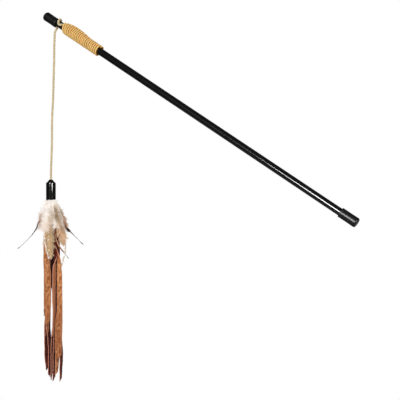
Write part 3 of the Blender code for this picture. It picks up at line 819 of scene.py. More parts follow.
def make_lure_cap():
    """The lure's dipped vinyl cap: a blunt cone on a slightly barrelled side, with a lobed mouth."""
    outer, inner, hole = LURE_RADIUS + CAP_SKIN, LURE_RADIUS - LURE_WALL, THROAT_RADIUS
    top, shoulder = LURE_HEIGHT, LURE_HEIGHT - 0.0038
    throat = [(hole, top - 0.0004), (hole + 0.0003, top - 0.00005), (0.0021, top - 0.00015)]
    cone = [(0.0024, top - 0.0005), (0.0034, top - 0.0018), (0.0045, top - 0.0031)]
    edge = arc(outer - 0.00085, shoulder - 0.0004, 0.0008, 50, 0, 6)
    side = [(outer - 0.00004, shoulder - 0.0014), (outer - 0.00002, shoulder - 0.0045)]
    side += [(outer, shoulder - 0.0090), (outer - 0.00002, 0.0060), (outer - 0.00006, 0.0025)]
    lip = arc(outer - 0.00045, 0.00042, 0.0004, 0, -90, 5)
    inside = [(inner + 0.0001, 0.0), (inner, 0.0006), (inner, shoulder - 0.001), (hole, top - 0.0014)]
    profile = throat + cone + edge + side + lip + inside

    def lobed(spot):
        spot = uneven(spot, 0.003)
        around = math.atan2(spot.y, spot.x)
        fade = float(1 - ease(spot.z / LOBE_HEIGHT))
        lobes = 1 + math.sin(LOBES * around + LOBE_PHASE)
        spot.z -= LOBE_DEPTH * fade * lobes * (1 + LOBES_LEAN * math.cos(around + LOBES_LEAN_PHASE))
        return spot

    cap = turned("lure_cap_vinyl", profile, glossy_vinyl, MOUTH, UP, shape=lobed, ring=True)
    rigid(cap, "cap_vinyl", "lure", "lure_cap")


make_rod()
tip, butt = rod_point(FIT_GAP) - OVER * TIP_CAP_SAG, rod_point(GRIP_TO_TIP + GRIP_TO_BUTT)
make_end_cap("tip_cap_vinyl", "tip_cap", TIP_CAP_LENGTH, 0.0030, 0.0008, -ALONG, tip)
make_end_cap("butt_cap_vinyl", "butt_cap", BUTT_CAP_LENGTH, 0.0020, 0.0001, ALONG, butt)
make_lure_cap()


def make_glue_and_knot():
    """The glue in the cap's mouth and the stopper knot keep the model's shapes."""
    glue = Finish("clear_glue", Specular_IOR_Level=0.5, Subsurface_Weight=0.3, Subsurface_Scale=0.002)
    cloud = glue.noise(glue.place(), 700.0, 3.0)
    glue.feed(
        Base_Color=glue.mix(cloud, tone(176, 160, 128), tone(226, 216, 190)),
        Roughness=0.2 + cloud * 0.3,
        Normal=glue.bump(cloud, 0.5, 0.0002),
    )
    knot = Finish("knotted_cord", Roughness=0.85)
    waves = knot.node("TexWave", knot.place(), 260.0, 2.0, bands_direction="DIAGONAL")
    knot.feed(
        Base_Color=knot.mix(waves, tone(130, 108, 72), tone(214, 196, 156)),
        Normal=knot.bump(waves, 0.8, 0.0003),
    )
    for node, finish in (("glue_plug", glue), ("cord_knot", knot)):
        dress(frame["nodes"][node].data, finish.material)


make_glue_and_knot()

# Suede strips. An edge has the wavelengths of its wave and its nicks. A sway is a wavelength and how
# far it goes, in degrees for the turn. Strips are thinner by a share at their top and their end.
STRIP_THICKNESS = 1.2 * MM
STRIP_STEP = 0.8 * MM
SMOOTH_REACH = 6
EDGE_WAVE, EDGE_NICK, END_RAG = 0.12 * MM, 0.07 * MM, 0.5 * MM
LEFT_EDGE, RIGHT_EDGE = (0.013, 0.0031), (0.011, 0.0027)
CUP, CUP_WAVE = 0.10, 0.060
SIDE_SWAY, FRONT_SWAY, TURN_SWAY = (0.11, 0.00018), (0.13, 0.00035), (0.083, 2.5)
SWAY_FROM, SWAY_OVER, TURN_OVER = 0.05, 0.08, 0.06
THIN_TOP, THIN_TOP_OVER = 0.22, 0.03
THIN_END, THIN_END_OVER = 0.45, 0.012
SPLINTER_SWAY, SPLINTER_THICKNESS, SPLINTER_TIP = (0.012, 0.00025), 0.7, 0.3
SPLINTER_START = 0.55
BEND_END = MOUTH - UP * 50 * MM
HUE_FROM, HUE_TO = 60 * MM, 170 * MM
FACE_POINTS = 9
END_LENGTH = 7 * MM

# How red each strip's nap is down to HUE_FROM and from HUE_TO on, from 0 to 1, and how much lower
# its right corner hangs at the end, in millimetres. Then its rows: distance down from the cap's mouth,
# place to the side and to the front, where its napped face looks in degrees, and width.
STRIPS = {
    "strip_front_left": (
        (0.22, 0.36), -2,
        (0, -1.9, 2.3, 112, 1.6), (12, -3.1, 3.6, 106, 3.4), (28, -4.8, 4.9, 96, 4.8),
        (50, -5.6, 5.2, 92, 4.8), (62, -5.1, 5.2, 92, 5.4), (84, -3.4, 5.2, 92, 8.6),
        (122, -3.2, 5.2, 90, 8.8), (134, -3.2, 5.2, 88, 6.8), (144, -3.3, 5.1, 88, 5),
    ),
    "strip_front_middle": (
        (0.9, 0.8), 1.5,
        (0, 0.3, 3, 78, 1.6), (14, 2.8, 3.8, 72, 4), (24, 5.2, 4.5, 245, 6),
        (44, 6.2, 4.6, 252, 6.8), (60, 6, 4.6, 262, 6), (77, 4.8, 4.6, 388, 6.2),
        (90, 4.4, 4.6, 388, 6.2), (120, 4.5, 4.4, 387, 6.2), (140, 4.3, 4.4, 386, 5.6),
        (160, 3.3, 4.2, 386, 3),
    ),
    "strip_front_right": (
        (0.02, 0.44), -3,
        (0, 2.4, 1.7, 242, 1.6), (14, 4.6, 3, 250, 4.4), (30, 6.8, 4, 258, 6.2),
        (48, 7.8, 4.4, 262, 6.2), (60, 9, 4.6, 200, 4.6), (72, 10.2, 4.6, 100, 4.4),
        (88, 10.8, 4.6, 84, 6.2), (128, 10.8, 4.6, 84, 6.4), (142, 9.8, 4.6, 90, 8.8),
        (166, 9.5, 4.6, 86, 8.4), (184, 9.4, 4.6, 86, 7.4),
    ),
    "strip_back_left": (
        (0.3, 0.3), 2,
        (0, -2.9, 0.1, 165, 1.6), (14, -3.4, -0.6, 172, 3.2), (30, -4.6, -2.2, 190, 6.2),
        (50, -7.4, -3, 196, 7), (72, -7.4, -3, 196, 7.4), (96, -5.6, -3, 194, 7.8),
        (138, -6, -3, 191, 7.6), (152, -6.2, -3, 200, 7.2), (166, -6, -3, 214, 7.2),
        (184, -5, -3, 226, 6.6), (197, -4.2, -3, 230, 4.8),
    ),
    "strip_back_mid_left": (
        (0.4, 0.4), -2.5,
        (0, -2.3, -1.8, 174, 1.6), (14, -2.3, -2.3, 178, 3.2), (30, -2.4, -3.2, 190, 6.2),
        (50, -0.6, -3.6, 196, 7.2), (68, -0.6, -3.6, 196, 7.6), (86, -3, -3.6, 197, 7.8),
        (146, -3, -3.6, 198, 7.6), (162, -2.8, -3.6, 204, 7), (174, -1.8, -3.6, 209, 6.8),
        (192, -1.8, -3.6, 214, 6.2), (206, -2.5, -3.6, 212, 4.2),
    ),
    "strip_back_middle": (
        (0.3, 0.3), 0,
        (0, -0.7, -2.9, 182, 1.6), (14, -0.4, -3.1, 184, 3.2), (30, 0.4, -3.6, 190, 6.2),
        (52, 0.8, -3.8, 196, 7.6), (80, 0.2, -3.8, 204, 7.8), (95, 0.1, -3.8, 204, 7.8),
        (106, 3, -3.8, 198, 7.8), (146, 3.3, -3.8, 198, 7.6), (164, 1.9, -3.8, 206, 7),
        (190, 0.9, -3.8, 208, 5.2), (211, -0.7, -3.8, 200, 1.6),
    ),
    "strip_back_mid_right": (
        (0.6, 0.6), 3,
        (0, 1.1, -2.7, 190, 1.6), (14, 2.2, -3, 192, 3.2), (30, 4.2, -3.3, 195, 6.2),
        (50, 5.1, -3.4, 198, 7.6), (150, 5, -3.4, 199, 7.8), (176, 4, -3.4, 206, 7),
        (198, 3.2, -3.4, 214, 5.8), (209, 2.9, -3.4, 216, 4.2),
    ),
    "strip_back_right": (
        (0.25, 0.25), -2,
        (0, 2.5, -1.6, 20, 1.6), (14, 4.6, -2, 21, 3), (30, 7.6, -2.7, 22, 5.8),
        (50, 5.6, -3, 22, 6.6), (70, 6, -3, 22, 6.8), (90, 8.4, -3, 22, 7),
        (150, 8.4, -3, 22, 7), (180, 7.2, -3, 34, 6.6), (203, 6.3, -3, 40, 4.6),
    ),
    "strip_far_right": (
        (0.2, 0.3), 2,
        (0, 2.9, 0, 212, 1.6), (14, 5.9, -0.6, 215, 3), (30, 7.8, -1.8, 214, 5.4),
        (50, 7.8, -2.2, 206, 6), (68, 8.2, -2.2, 204, 6.4), (92, 9.8, -2.2, 204, 6.4),
        (146, 9.8, -2.2, 204, 6.6), (160, 10.6, -2.2, 208, 6.8), (180, 11.7, -2.2, 212, 5.8),
        (210, 11, -2.2, 214, 3.4),
    ),
}

# The splinters that a strip splits into at its end, in millimetres: start, shift to the right, end
# and width, and the turn of the face in degrees
SPLINTERS = {
    "strip_front_left": [
        (132, -1.6, 159, 2.0, 10), (132, 1.4, 154, 1.6, -25), (121, -3.9, 135, 2.2, 170),
    ],
}


def suede_finish():
    """Split leather: a napped tan face, a dark red-brown reverse whose darkest tones are partly painted
    shade, and pale cut edges.
    """
    finish = Finish("tan_suede", Sheen_Weight=0.06, Sheen_Roughness=0.6, Specular_IOR_Level=0.12)
    across, along, face = finish.parts(finish.stored("lie", "Vector"))
    hue = finish.stored("hue")
    spot = finish.node("CombineXYZ", across, along, face * 0.02)
    nap = finish.noise(finish.scaled(spot, 1.0, 0.45, 1.0), 520.0, 5.0, 0.65)
    fine = finish.noise(spot, 2600.0, 3.0, 0.6)
    streak = finish.noise(finish.scaled(spot, 1.0, 0.12, 1.0), 420.0, 3.0)
    cloud = finish.noise(spot, 70.0, 2.0)
    wear = finish.noise(finish.scaled(spot, 1.0, 0.6, 1.0), 210.0, 3.0, 0.7)
    front = finish.mix(nap.step(0.30, 0.72), tone(120, 64, 30), tone(236, 168, 114))
    front = finish.mix(wear.step(0.50, 0.66) * 0.6, front, tone(142, 78, 40))
    front = finish.mix(cloud.step(0.45, 0.70) * 0.4, front, tone(210, 128, 72))
    front = finish.mix(hue.step(0.10, 0.42) * 0.50, front, tone(112, 52, 26))
    front = finish.mix(hue.step(0.5, 1.0) * 0.6, front, tone(176, 112, 82))
    # the reverse's own dark red-brown, made darker still: partly painted shade on the strips' backs
    back = finish.mix(nap.step(0.35, 0.70), tone(50, 12, 6), tone(112, 42, 25))
    back = finish.mix(streak.step(0.54, 0.72) * 0.5, back, tone(156, 76, 52))
    edge = finish.mix(fine, tone(192, 116, 88), tone(232, 170, 146))
    colour = finish.mix(face.step(-0.35, 0.35), back, front)
    rim = (1 - face.math("ABSOLUTE")).step(0.40, 0.62)
    colour = finish.mix(rim * 0.85, colour, edge)
    speck = fine.step(0.60, 0.75)
    colour = finish.mix(speck * 0.14, colour, tone(86, 44, 26))
    return finish.feed(
        Base_Color=colour,
        Roughness=0.86 + nap * 0.12,
        Normal=finish.bump(nap * 0.45 + fine * 0.35 + streak * 0.2, 0.75, 0.00035),
    )


def smoothed(values):
    """Values evened out along their length, their ends kept."""
    padded = np.pad(values, SMOOTH_REACH, mode="edge")
    weights = np.hanning(2 * SMOOTH_REACH + 3)[1:-1]
    return np.convolve(padded, weights / weights.sum(), mode="valid")


def drift(marks, wavelength, amount):
    """A gentle random wave along a length."""
    waves = np.zeros_like(marks)
    for share in (1.0, 0.53, 0.31):
        waves += share * np.sin(marks / (wavelength * share) * TURN + rng.uniform(0, TURN))
    return waves * amount / 1.5


def ribbon(tubes, line, facing, width, thickness, marks, hue, cut=0.0):
    """A strip of leather along a line, with wavy cut edges and a ragged slanting end."""
    heading = directions(line)
    facing = squared(facing, heading)
    across = np.cross(facing, heading)

    def edge(wave, nick):
        return width / 2 + drift(marks, wave, EDGE_WAVE) + drift(marks, nick, EDGE_NICK)

    left, right = edge(*LEFT_EDGE), edge(*RIGHT_EDGE)
    near_end = ease((marks - marks[-1] + END_LENGTH) / END_LENGTH)[:, None]
    cup = CUP * width * drift(marks, CUP_WAVE, 1.0)
    shares = np.linspace(-1, 1, FACE_POINTS)
    hang = cut * shares + rng.normal(0, END_RAG, FACE_POINTS)
    ring, lie = [], []

    def add(share, level, face, drop):
        reach = np.where(share < 0, left, right) * share * 0.98
        curl = cup * (share * share - 0.3)
        place = line + across * reach[:, None] + facing * (thickness / 2 * level + curl)[:, None]
        ring.append(place + heading * near_end * drop)
        lie.append(np.stack([reach, marks, np.full_like(marks, face)], axis=-1))

    for way in (1, -1):
        for share, drop in zip(shares[::way], hang[::way]):
            level = 1 - 0.25 * abs(share) ** 6
            face = 0.5 if abs(share) > 0.99 else 1.0
            add(share * 0.97, level * way, face * way, drop)
        add(way, 0.0, 0.0, hang[::way][-1])
    redness = np.interp(marks, [HUE_FROM, HUE_TO], hue)[:, None]
    tubes.add(np.stack(ring[::-1], axis=1), lie=np.stack(lie[::-1], axis=1), hue=redness)


def faced(angle):
    """Level directions at angles from the lure's side towards its front."""
    return np.cos(angle)[:, None] * np.array(LURE_SIDE) + np.sin(angle)[:, None] * np.array(LURE_FRONT)


def make_strip(name, hue, cut, rows, splinters, finish):
    """A suede strip: it widens out of the cap's mouth, hangs with a slight wave and ends ragged."""
    rows = np.array(rows, float)
    down = rows[:, 0] * MM
    tubes = Tubes()

    def stations(start, end):
        marks = np.arange(start, end, STRIP_STEP)
        columns = [smoothed(np.interp(marks, down, rows[:, i])) for i in range(1, 5)]
        return marks, columns[0] * MM, columns[1] * MM, np.radians(columns[2]), columns[3] * MM

    marks, side, front, angle, width = stations(0, down[-1])
    sway = ease((marks - SWAY_FROM) / SWAY_OVER)
    side = side + drift(marks, *SIDE_SWAY) * sway
    front = front + drift(marks, *FRONT_SWAY) * sway
    angle = angle + np.radians(drift(marks, *TURN_SWAY)) * ease(marks / TURN_OVER)
    line = as_array(map(lure_point, side, front, marks))
    thick = STRIP_THICKNESS * (1 - THIN_TOP + THIN_TOP * ease(marks / THIN_TOP_OVER))
    thick = thick * (1 - THIN_END * ease((marks - marks[-1] + THIN_END_OVER) / THIN_END_OVER))
    ribbon(tubes, line, faced(angle), width, thick, marks, hue, cut * MM)
    for start, shift, end, splinter_width, turn in splinters:
        marks, side, front, angle, _ = stations(start * MM, end * MM)
        share = (marks - marks[0]) / (marks[-1] - marks[0])
        shifted = SPLINTER_START + (1 - SPLINTER_START) * ease(share * 1.5)
        aside = shift * MM * shifted + drift(marks, *SPLINTER_SWAY) * share
        line = as_array(map(lure_point, side + aside, front, marks))
        thin = np.linspace(1.0, SPLINTER_TIP, len(marks))
        twisted = faced(angle + np.radians(turn) * ease(share * 2))
        width, thick = splinter_width * MM * thin, STRIP_THICKNESS * SPLINTER_THICKNESS * thin
        ribbon(tubes, line, twisted, width, thick, marks, hue)
    bending(tubes.build(name + "_suede", finish), "suede", "lure", name, MOUTH, BEND_END, name)


def make_strips():
    finish = suede_finish()
    for name, (hue, cut, *rows) in STRIPS.items():
        make_strip(name, hue, cut, rows, SPLINTERS.get(name, ()), finish)


make_strips()

# Feathers. Their barbs grow paler towards their ends by a share, and none stands higher than a
# little below the cap's mouth. A feather's slot goes by the first word of its name.
QUILL_RING = 3.95 * MM
QUILL_DEPTH = 0.7 * MM
QUILL_STEP = 0.9 * MM
PALE_ENDS = 0.45
RIM_CLEARANCE = 0.6 * MM

# How barbs differ from their tuft, as shares: in length, radius and shade. Then how far tufts stray
# from their even places and barbs from their tuft's, as shares of the gap between tufts, and how far
# their leans stray, between two limits.
BARB_LENGTHS, BARB_RADII, BARB_SHADES = (0.75, 1.08), (0.7, 1.2), (0.92, 1.04)
TUFT_STRAY, BARB_STRAY = 0.3, 0.34
TUFT_LEAN_STRAY, BARB_LEAN_STRAY = 0.08, 0.04
LEAN_LIMITS = (0.05, 0.95)

# A tuft is darkened from the brightest shade by a random share, most often a small one
BRIGHTEST, DARKENING = 1.02, (1.2, 2.4)
TINT_STRAY = 0.05
LAST_BARB = 0.995
SLOPE_REACH = 0.01
FEATHER_SLOTS = {"white": "white_down", "pale": "white_down", "tan": "tan_vane"}

WHITE_DOWN, PINKISH = tone(255, 251, 246), tone(250, 236, 224)
GREY_TAN, TAN = tone(166, 142, 112), tone(216, 184, 140)
FAWN, OATMEAL = tone(204, 164, 130), tone(228, 214, 196)
RUST, BROWN, DARK = tone(212, 172, 132), tone(122, 76, 50), tone(18, 10, 9)

# A layer of barbs: how many tufts a side and barbs in each, from where to where along the feather,
# their length in millimetres, how far they lean towards the tip, how far tufts stray from the
# feather's flat, how much they curl, a barb's radius, how flat it is, the share of its radius left at
# its end, how uneven the tufts are in length and shade, and how many points a barb has
Layer = namedtuple(
    "Layer", "tufts each low high length lean spread curl radius flat end uneven shade points"
)


# Each kind of feather gives its quill's radius in millimetres and its layers. A length is worked out
# from the place along the feather, 0 to 1, and the side, -1 or 1.
def down(left, right):
    """A plume of down that reaches so many millimetres to its two sides."""

    def swell(at, way):
        return (left if way < 0 else right) * (0.72 + 0.28 * np.sin(np.pi * at))

    def under(at, way):
        return swell(at, way) * 0.75

    def collar(at, way):
        return 6.5

    def skirt(at, way):
        return (left if way < 0 else right) * 0.8

    return 0.20, [
        Layer(44, 15, 0.06, 0.99, swell, 0.30, 0.65, 0.95, 0.070, 0.8, 0.3, 0.35, 0.14, 8),
        Layer(40, 12, 0.02, 0.88, under, 0.14, 1.00, 1.30, 0.062, 0.8, 0.3, 0.30, 0.12, 8),
        Layer(16, 14, 0.02, 0.20, collar, 0.14, 0.80, 1.00, 0.060, 0.8, 0.3, 0.30, 0.10, 7),
        Layer(14, 14, 0.72, 0.98, skirt, 0.36, 0.60, 0.90, 0.070, 0.8, 0.3, 0.30, 0.12, 8),
    ]


def vane(width, bare, widest):
    """A closed feather, widest at a place along it, whose quill is bare of vane below a place."""
    start = bare * 0.5
    skew = math.log(0.5) / math.log(widest)

    def outline(at, way):
        share = np.clip((at - start) / (1.02 - start), 0.001, 0.999)
        return width * 0.66 * np.sin(np.pi * share**skew) ** 1.1

    def fluff(at, way):
        return 9.0 - 6.0 * at

    return 0.26, [
        Layer(32, 15, bare, 0.985, outline, 0.50, 0.10, 0.16, 0.17, 0.3, 0.5, 0.36, 0.30, 7),
        Layer(24, 8, bare, 0.97, outline, 0.40, 0.26, 0.36, 0.09, 0.8, 0.4, 0.40, 0.26, 7),
        Layer(26, 12, 0.06, bare + 0.12, fluff, 0.35, 0.6, 0.7, 0.06, 0.8, 0.3, 0.25, 0.14, 7),
    ]


def hackle(*thick):
    """A narrow feather, given as pairs of a place along it and its barbs' length there."""
    places, sizes = zip(*thick)

    def outline(at, way):
        return np.interp(at, places, sizes)

    def fluff(at, way):
        return 3.6 - 2.0 * at

    return 0.50, [
        Layer(60, 9, places[0], 0.99, outline, 0.82, 0.18, 0.12, 0.13, 0.8, 0.5, 0.12, 0.06, 5),
        Layer(16, 5, 0.06, places[0], fluff, 0.45, 0.5, 0.6, 0.05, 0.8, 0.3, 0.2, 0.12, 5),
    ]


def wisp(reach, bare):
    """A loose thin feather whose quill is bare but for some fluff below a place."""

    def loose(at, way):
        return reach * (1.1 - 0.6 * at)

    def fluff(at, way):
        return 4.0

    return 0.22, [
        Layer(24, 7, bare, 0.985, loose, 0.6, 0.4, 0.75, 0.10, 0.8, 0.4, 0.4, 0.14, 6),
        Layer(16, 5, 0.06, bare, fluff, 0.45, 0.5, 0.6, 0.05, 0.8, 0.3, 0.2, 0.12, 5),
    ]


# Each feather's place in the mouth's ring and where its face looks, in degrees, the strip whose swing
# bends it, the places that it passes in millimetres (to the side, to the front, down), its kind, and
# its tints from quill to tip, with others for its far side where the two sides differ
FEATHERS = {
    "white_plume_front_left": (
        118, 97, "strip_front_left", [(-4.6, 9.6, 11), (-5.2, 12.2, 24), (-5.8, 12.2, 35.5)],
        down(8.5, 11.0), [WHITE_DOWN] * 2 + [PINKISH],
    ),
    "white_plume_front_right": (
        62, 83, "strip_front_right", [(5.0, 9.8, 11), (6.9, 12.4, 22), (8.8, 12.4, 32)],
        down(10.5, 9.0),
        [WHITE_DOWN] * 3 + [OATMEAL] * 2 + [WHITE_DOWN, PINKISH],
        [WHITE_DOWN] * 2 + [OATMEAL] + [GREY_TAN] * 3 + [OATMEAL, PINKISH],
    ),
    "white_plume_right": (
        12, 6, "strip_far_right", [(9.8, 2.4, 11), (15.8, 2.6, 23), (19.6, 2.8, 34)],
        down(6.5, 6.5), [WHITE_DOWN, OATMEAL, GREY_TAN] + [FAWN] * 2,
    ),
    "white_plume_left": (
        170, 176, "strip_front_left", [(-8.6, 1.0, 11), (-11.8, 0.6, 23), (-13.4, 0.4, 34)],
        down(7.0, 7.0), [WHITE_DOWN] * 2 + [FAWN, WHITE_DOWN],
    ),
    "white_plume_back_left": (
        238, 262, "strip_back_mid_left", [(-4.8, -9.4, 11), (-6.2, -11.8, 24), (-7.0, -12.0, 35)],
        down(10.0, 7.0), [WHITE_DOWN] * 2 + [PINKISH],
    ),
    "white_plume_back_right": (
        304, 278, "strip_back_mid_right", [(4.6, -9.4, 11), (7.6, -11.8, 24), (9.4, -12.0, 35)],
        down(7.0, 10.0), [WHITE_DOWN] * 2 + [GREY_TAN],
    ),
    "tan_feather_left": (
        98, 94, "strip_front_left",
        [(-0.2, 7.6, 14), (-0.7, 8.5, 32), (-0.4, 8.7, 50), (1.4, 8.5, 69)],
        vane(16.5, 0.24, 0.54), [WHITE_DOWN] + [TAN] * 2,
    ),
    "tan_feather_right": (
        44, 84, "strip_front_right",
        [(5.6, 6.6, 14), (10.4, 8.0, 30), (14.0, 8.4, 43), (16.6, 8.6, 54)],
        vane(14.0, 0.26, 0.60), [WHITE_DOWN] + [RUST] * 2,
    ),
    "dark_hackle_left": (
        146, 120, "strip_front_left",
        [(-8.0, 4.2, 11), (-12.4, 5.2, 24), (-16.8, 7.6, 35), (-26.2, 8.6, 47), (-36.8, 8.6, 56.6)],
        hackle((0.34, 1.4), (0.42, 2.4), (0.52, 2.8), (0.62, 1.2), (0.80, 0.5), (0.94, 0.6), (0.97, 1.3)),
        [WHITE_DOWN] * 3 + [BROWN] + [DARK] * 5,
    ),
    "dark_hackle_right": (
        28, 60, "strip_front_right",
        [(9.0, 3.8, 10), (15.2, 5.0, 23), (19.0, 7.8, 32), (27.0, 9.2, 40.2), (38.4, 9.4, 51.6)],
        hackle(
            (0.46, 1.0), (0.51, 2.4), (0.56, 5.0), (0.61, 4.2), (0.66, 1.8), (0.76, 0.9), (0.90, 0.5),
            (0.96, 1.3),
        ),
        [WHITE_DOWN] * 3 + [PINKISH, BROWN] + [DARK] * 4,
    ),
    "brown_hackle_low": (
        80, 80, "strip_front_middle",
        [(0.9, 5.4, 6), (2.6, 9.2, 18), (4.6, 10.2, 30), (9.2, 10.2, 50), (21.9, 10.2, 68)],
        hackle((0.66, 0.6), (0.74, 2.4), (0.84, 1.8), (0.90, 0.5), (0.97, 0.9)),
        [TAN] + [BROWN] * 3 + [RUST, BROWN, DARK],
    ),
    "pale_hackle_left": (
        104, 95, "strip_front_left",
        [(-1.2, 5.4, 6), (-4.6, 9.4, 20), (-6.2, 10.0, 34), (-5.2, 10.0, 50), (-1.4, 10.0, 68)],
        wisp(3.4, 0.40), [WHITE_DOWN] * 3,
    ),
    "pale_hackle_right": (
        344, 290, "strip_far_right",
        [(10.4, -6.6, 14), (14.6, -7.8, 36), (15.8, -7.8, 60), (11.0, -7.4, 79)],
        wisp(4.6, 0.40), [WHITE_DOWN] + [TAN] * 2,
    ),
}


def feather_finish():
    """Barbs: their own tint with fine flecks, and a faint painted glow of that tint that stands in for
    the light that they let through.
    """
    # the emission is painted light: the barbs glow a little in their own colour
    finish = Finish("barbs", Sheen_Weight=0.08, Specular_IOR_Level=0.15, Emission_Strength=0.25)
    tint = finish.stored("tint", "Color")
    place = finish.place()
    fleck = finish.noise(place, 900.0, 3.0)
    wide = finish.noise(place, 130.0, 2.0)
    colour = finish.mix(fleck.step(0.45, 0.8) * 0.30, tint, tone(218, 198, 182), "MULTIPLY")
    colour = finish.mix(wide.step(0.54, 0.72) * 0.50, colour, tone(226, 200, 178), "MULTIPLY")
    return finish.feed(
        Base_Color=colour,
        Emission_Color=colour,
        Roughness=0.68 + fleck * 0.2,
        Normal=finish.bump(fleck, 0.3, 0.0001),
    )


def tint_at(shares, tints):
    """The feather's colour from its quill to its tip."""
    stops = np.linspace(0, 1, len(tints))
    tints = np.array(tints)
    return np.stack([np.interp(shares, stops, tints[:, i]) for i in range(3)], axis=-1)


def barb_lines(base, heading, outward, lift, length, lean, curl, points):
    """Curved barbs: each leaves its base outward and bends towards the feather's tip."""
    shares = np.linspace(0, 1, points)[None, :, None]
    lean = (lean[:, None] + (1 - lean[:, None]) * shares[..., 0] * 0.75)[..., None]
    way = outward[:, None] * (1 - lean * 0.8) + heading[:, None] * lean + lift[:, None]
    way = unit(way + curl[:, None] * shares)
    step = length[:, None, None] / (points - 1)
    lines = np.concatenate([np.zeros_like(way[:, :1]), np.cumsum(way[:, :-1] * step, axis=1)], axis=1)
    return base[:, None] + lines


def add_barbs(tubes, path, face, layer, tints):
    """A layer of barbs on both sides of a feather, in tufts that share their lean, curl and shade."""
    for way in (-1, 1):
        tufts, each = layer.tufts, layer.each
        count = tufts * each
        gap = (layer.high - layer.low) / tufts

        def spread_out(values, stray):
            return np.repeat(values, each, axis=0) + rng.normal(0, stray, (count, *values.shape[1:]))

        middles = np.linspace(layer.low, layer.high, tufts) + rng.normal(0, TUFT_STRAY * gap, tufts)
        at = np.clip(spread_out(middles, BARB_STRAY * gap), layer.low, LAST_BARB)
        base = path.at(at * path.length)
        before, after = (at - SLOPE_REACH) * path.length, (at + SLOPE_REACH) * path.length
        heading = unit(path.at(after) - path.at(before))
        outward = unit(np.cross(face, heading)) * way
        lift = face * spread_out(rng.normal(0, layer.spread, (tufts, 1)), layer.spread * 0.3)
        size = np.repeat(rng.uniform(1 - layer.uneven, 1 + layer.uneven * 0.4, tufts), each)
        length = layer.length(at, way) * MM * size * rng.uniform(*BARB_LENGTHS, count)
        leans = layer.lean + rng.normal(0, TUFT_LEAN_STRAY, tufts)
        lean = np.clip(spread_out(leans, BARB_LEAN_STRAY), *LEAN_LIMITS)
        curl = spread_out(rng.normal(0, layer.curl, (tufts, 3)), layer.curl * 0.3)
        lines = barb_lines(base, heading, outward, lift, length, lean, curl, layer.points)
        # barbs that would stand above the cap's mouth fold down instead
        above = np.maximum(lines[..., 2] - (MOUTH.z - RIM_CLEARANCE), 0)
        lines[..., 2] -= above * 2
        ahead = directions(lines)
        across = unit(np.cross(ahead, face))
        thick = layer.radius * MM * rng.uniform(*BARB_RADII, count)
        radii = thick[:, None] * np.linspace(1, layer.end, layer.points)[None]
        rings = round_rings(lines, ahead, across, radii, 3, layer.flat)
        shares = np.clip(at + rng.normal(0, TINT_STRAY, count), 0, 1)
        colours = tint_at(shares, tints[0 if way < 0 else -1])
        shade = np.repeat(BRIGHTEST - layer.shade * 2 * rng.beta(*DARKENING, tufts), each)
        colours = np.clip(colours * (shade * rng.uniform(*BARB_SHADES, count))[:, None], 0, 1)
        light = np.clip(colours.mean(axis=1) * 5, 0, 1)[:, None, None]
        paling = PALE_ENDS * light * np.linspace(0, 1, layer.points)[None, :, None] ** 2
        colours = colours[:, None] * (1 - paling) + colours[:, None] ** 0.5 * paling
        tubes.add(rings, tint=colours[:, :, None, :])


def make_feather(name, ring_angle, faces, strip, route, kind, tints, finish):
    """A feather: a tapering quill, and layers of barbs on both its sides."""
    outward = ring_direction(ring_angle)
    root = MOUTH + UP * QUILL_DEPTH + outward * QUILL_RING
    lip = MOUTH - UP * MM + outward * (QUILL_RING + 0.1 * MM)
    path = Path([root, lip, *(lure_point(s * MM, f * MM, d * MM) for s, f, d in route)])
    face = np.array(ring_direction(faces))
    quill_radius, layers = kind
    shares = np.linspace(0, 1, max(24, round(path.length / QUILL_STEP)))
    line = path.at(shares * path.length)
    heading = directions(line)
    across = unit(np.cross(face, heading))
    radii = quill_radius * MM * (1 - 0.75 * shares)
    quill_tint = tint_at(shares, tints[0])[:, None] * 0.92
    tubes = Tubes()
    tubes.add(round_rings(line, heading, across, radii, 6), tint=quill_tint)
    for layer in layers:
        add_barbs(tubes, path, face, layer, tints)
    slot = FEATHER_SLOTS.get(name.split("_")[0], "dark_vane")
    bending(tubes.build(name + "_barbs", finish), slot, "lure", strip, MOUTH, BEND_END, name)


def make_feathers():
    finish = feather_finish()
    for name, (ring_angle, faces, strip, route, kind, *tints) in FEATHERS.items():
        make_feather(name, ring_angle, faces, strip, route, kind, tints, finish)


make_feathers()


# The floor's place and size, how it glows and keeps a shadow where it is looked at, and what gloss
# sees of it. Then the room: its light on the pieces, and what gloss sees, a white backdrop that fades
# into the dark between two cosines of the angle from straight behind.
FLOOR_DROP = 0.30
FLOOR_RADIUS = 1.2
FLOOR_GLOW = 0.80
FLOOR_SHADE = (0.30, 0.30, 0.30)
FLOOR_IN_GLOSS = (0.10, 0.10, 0.10)
ROOM_LIGHT = 0.50
ROOM_DARK = (0.02, 0.02, 0.02)
BACKDROP_EDGE = (0.72, 0.97)
WHITE = (1.0, 1.0, 1.0)

# Square soft lights: where each stands, what it looks at, its size, and its brightness
LIGHTS = {
    "key_light": ((-0.086, -1.444, 0.275), (-0.05, 0, 0), 0.42, 18.0),
    "right_light": ((0.78, -0.58, 0.115), (-0.29, 0, -0.02), 0.22, 25.0),
}


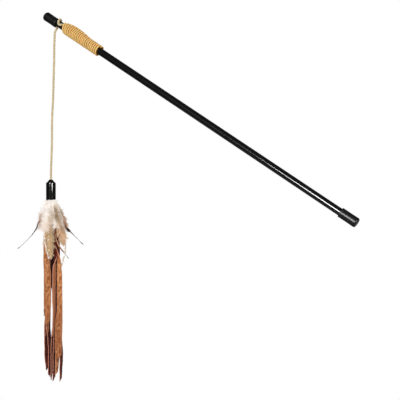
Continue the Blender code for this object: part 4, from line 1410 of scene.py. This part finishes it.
def add_light(name, at, towards, size, brightness):
    data = bpy.data.lights.new(name, "AREA")
    data.shape = "SQUARE"
    data.size = size
    data.energy = brightness * math.pi * size * size
    light = in_scene(name, data)
    light.location = at
    light.rotation_mode = "QUATERNION"
    light.rotation_quaternion = (Vector(at) - Vector(towards)).to_track_quat("Z", "Y")


def make_floor():
    """A white floor under the hanging lure. Where it is looked at it glows white, and keeps a shadow."""
    floor = Finish("white_floor", Roughness=0.9, Specular_IOR_Level=0.0, Base_Color=(0.8, 0.8, 0.8))
    glossy = floor.ray("Glossy")
    seen = floor.ray("Camera").math("MAXIMUM", glossy)
    shade = floor.node("BsdfDiffuse", FLOOR_SHADE)
    glow = floor.node("Emission", WHITE, FLOOR_GLOW)
    dim = floor.node("Emission", FLOOR_IN_GLOSS, 1.0)
    shown = floor.node("MixShader", glossy, floor.node("AddShader", shade, glow), dim)
    plain = Value(floor, floor.shader.outputs[0])
    floor.surface(floor.node("MixShader", seen, plain, shown))
    at = (0, 0, cad_box[0].z - FLOOR_DROP)
    turned("floor", [(0.0, 0.0), (FLOOR_RADIUS, 0.0)], floor.material, at, UP)


def make_surroundings():
    """White to the eye, an even light on the pieces, and in gloss a white backdrop in a dark room."""
    world = bpy.data.worlds.new("studio")
    bpy.context.scene.world = world
    world.use_nodes = True
    studio = Shading(world.node_tree)
    east, north, _ = studio.parts(studio.node("TexCoord", out="Generated"))
    behind = north * math.cos(CAMERA_AZIMUTH) - east * math.sin(CAMERA_AZIMUTH)
    white = studio.node("Background", WHITE, 1.0)
    dark = studio.node("Background", ROOM_DARK, 1.0)
    room = studio.node("Background", WHITE, ROOM_LIGHT)
    mirrored = studio.node("MixShader", behind.step(*BACKDROP_EDGE), dark, white)
    around = studio.node("MixShader", studio.ray("Glossy"), room, mirrored)
    studio.surface(studio.node("MixShader", studio.ray("Camera"), around, white))


def make_studio():
    make_floor()
    make_surroundings()
    for name, (at, towards, size, brightness) in LIGHTS.items():
        add_light(name, at, towards, size, brightness)


make_studio()
bpy.context.scene.view_settings.view_transform = "Standard"
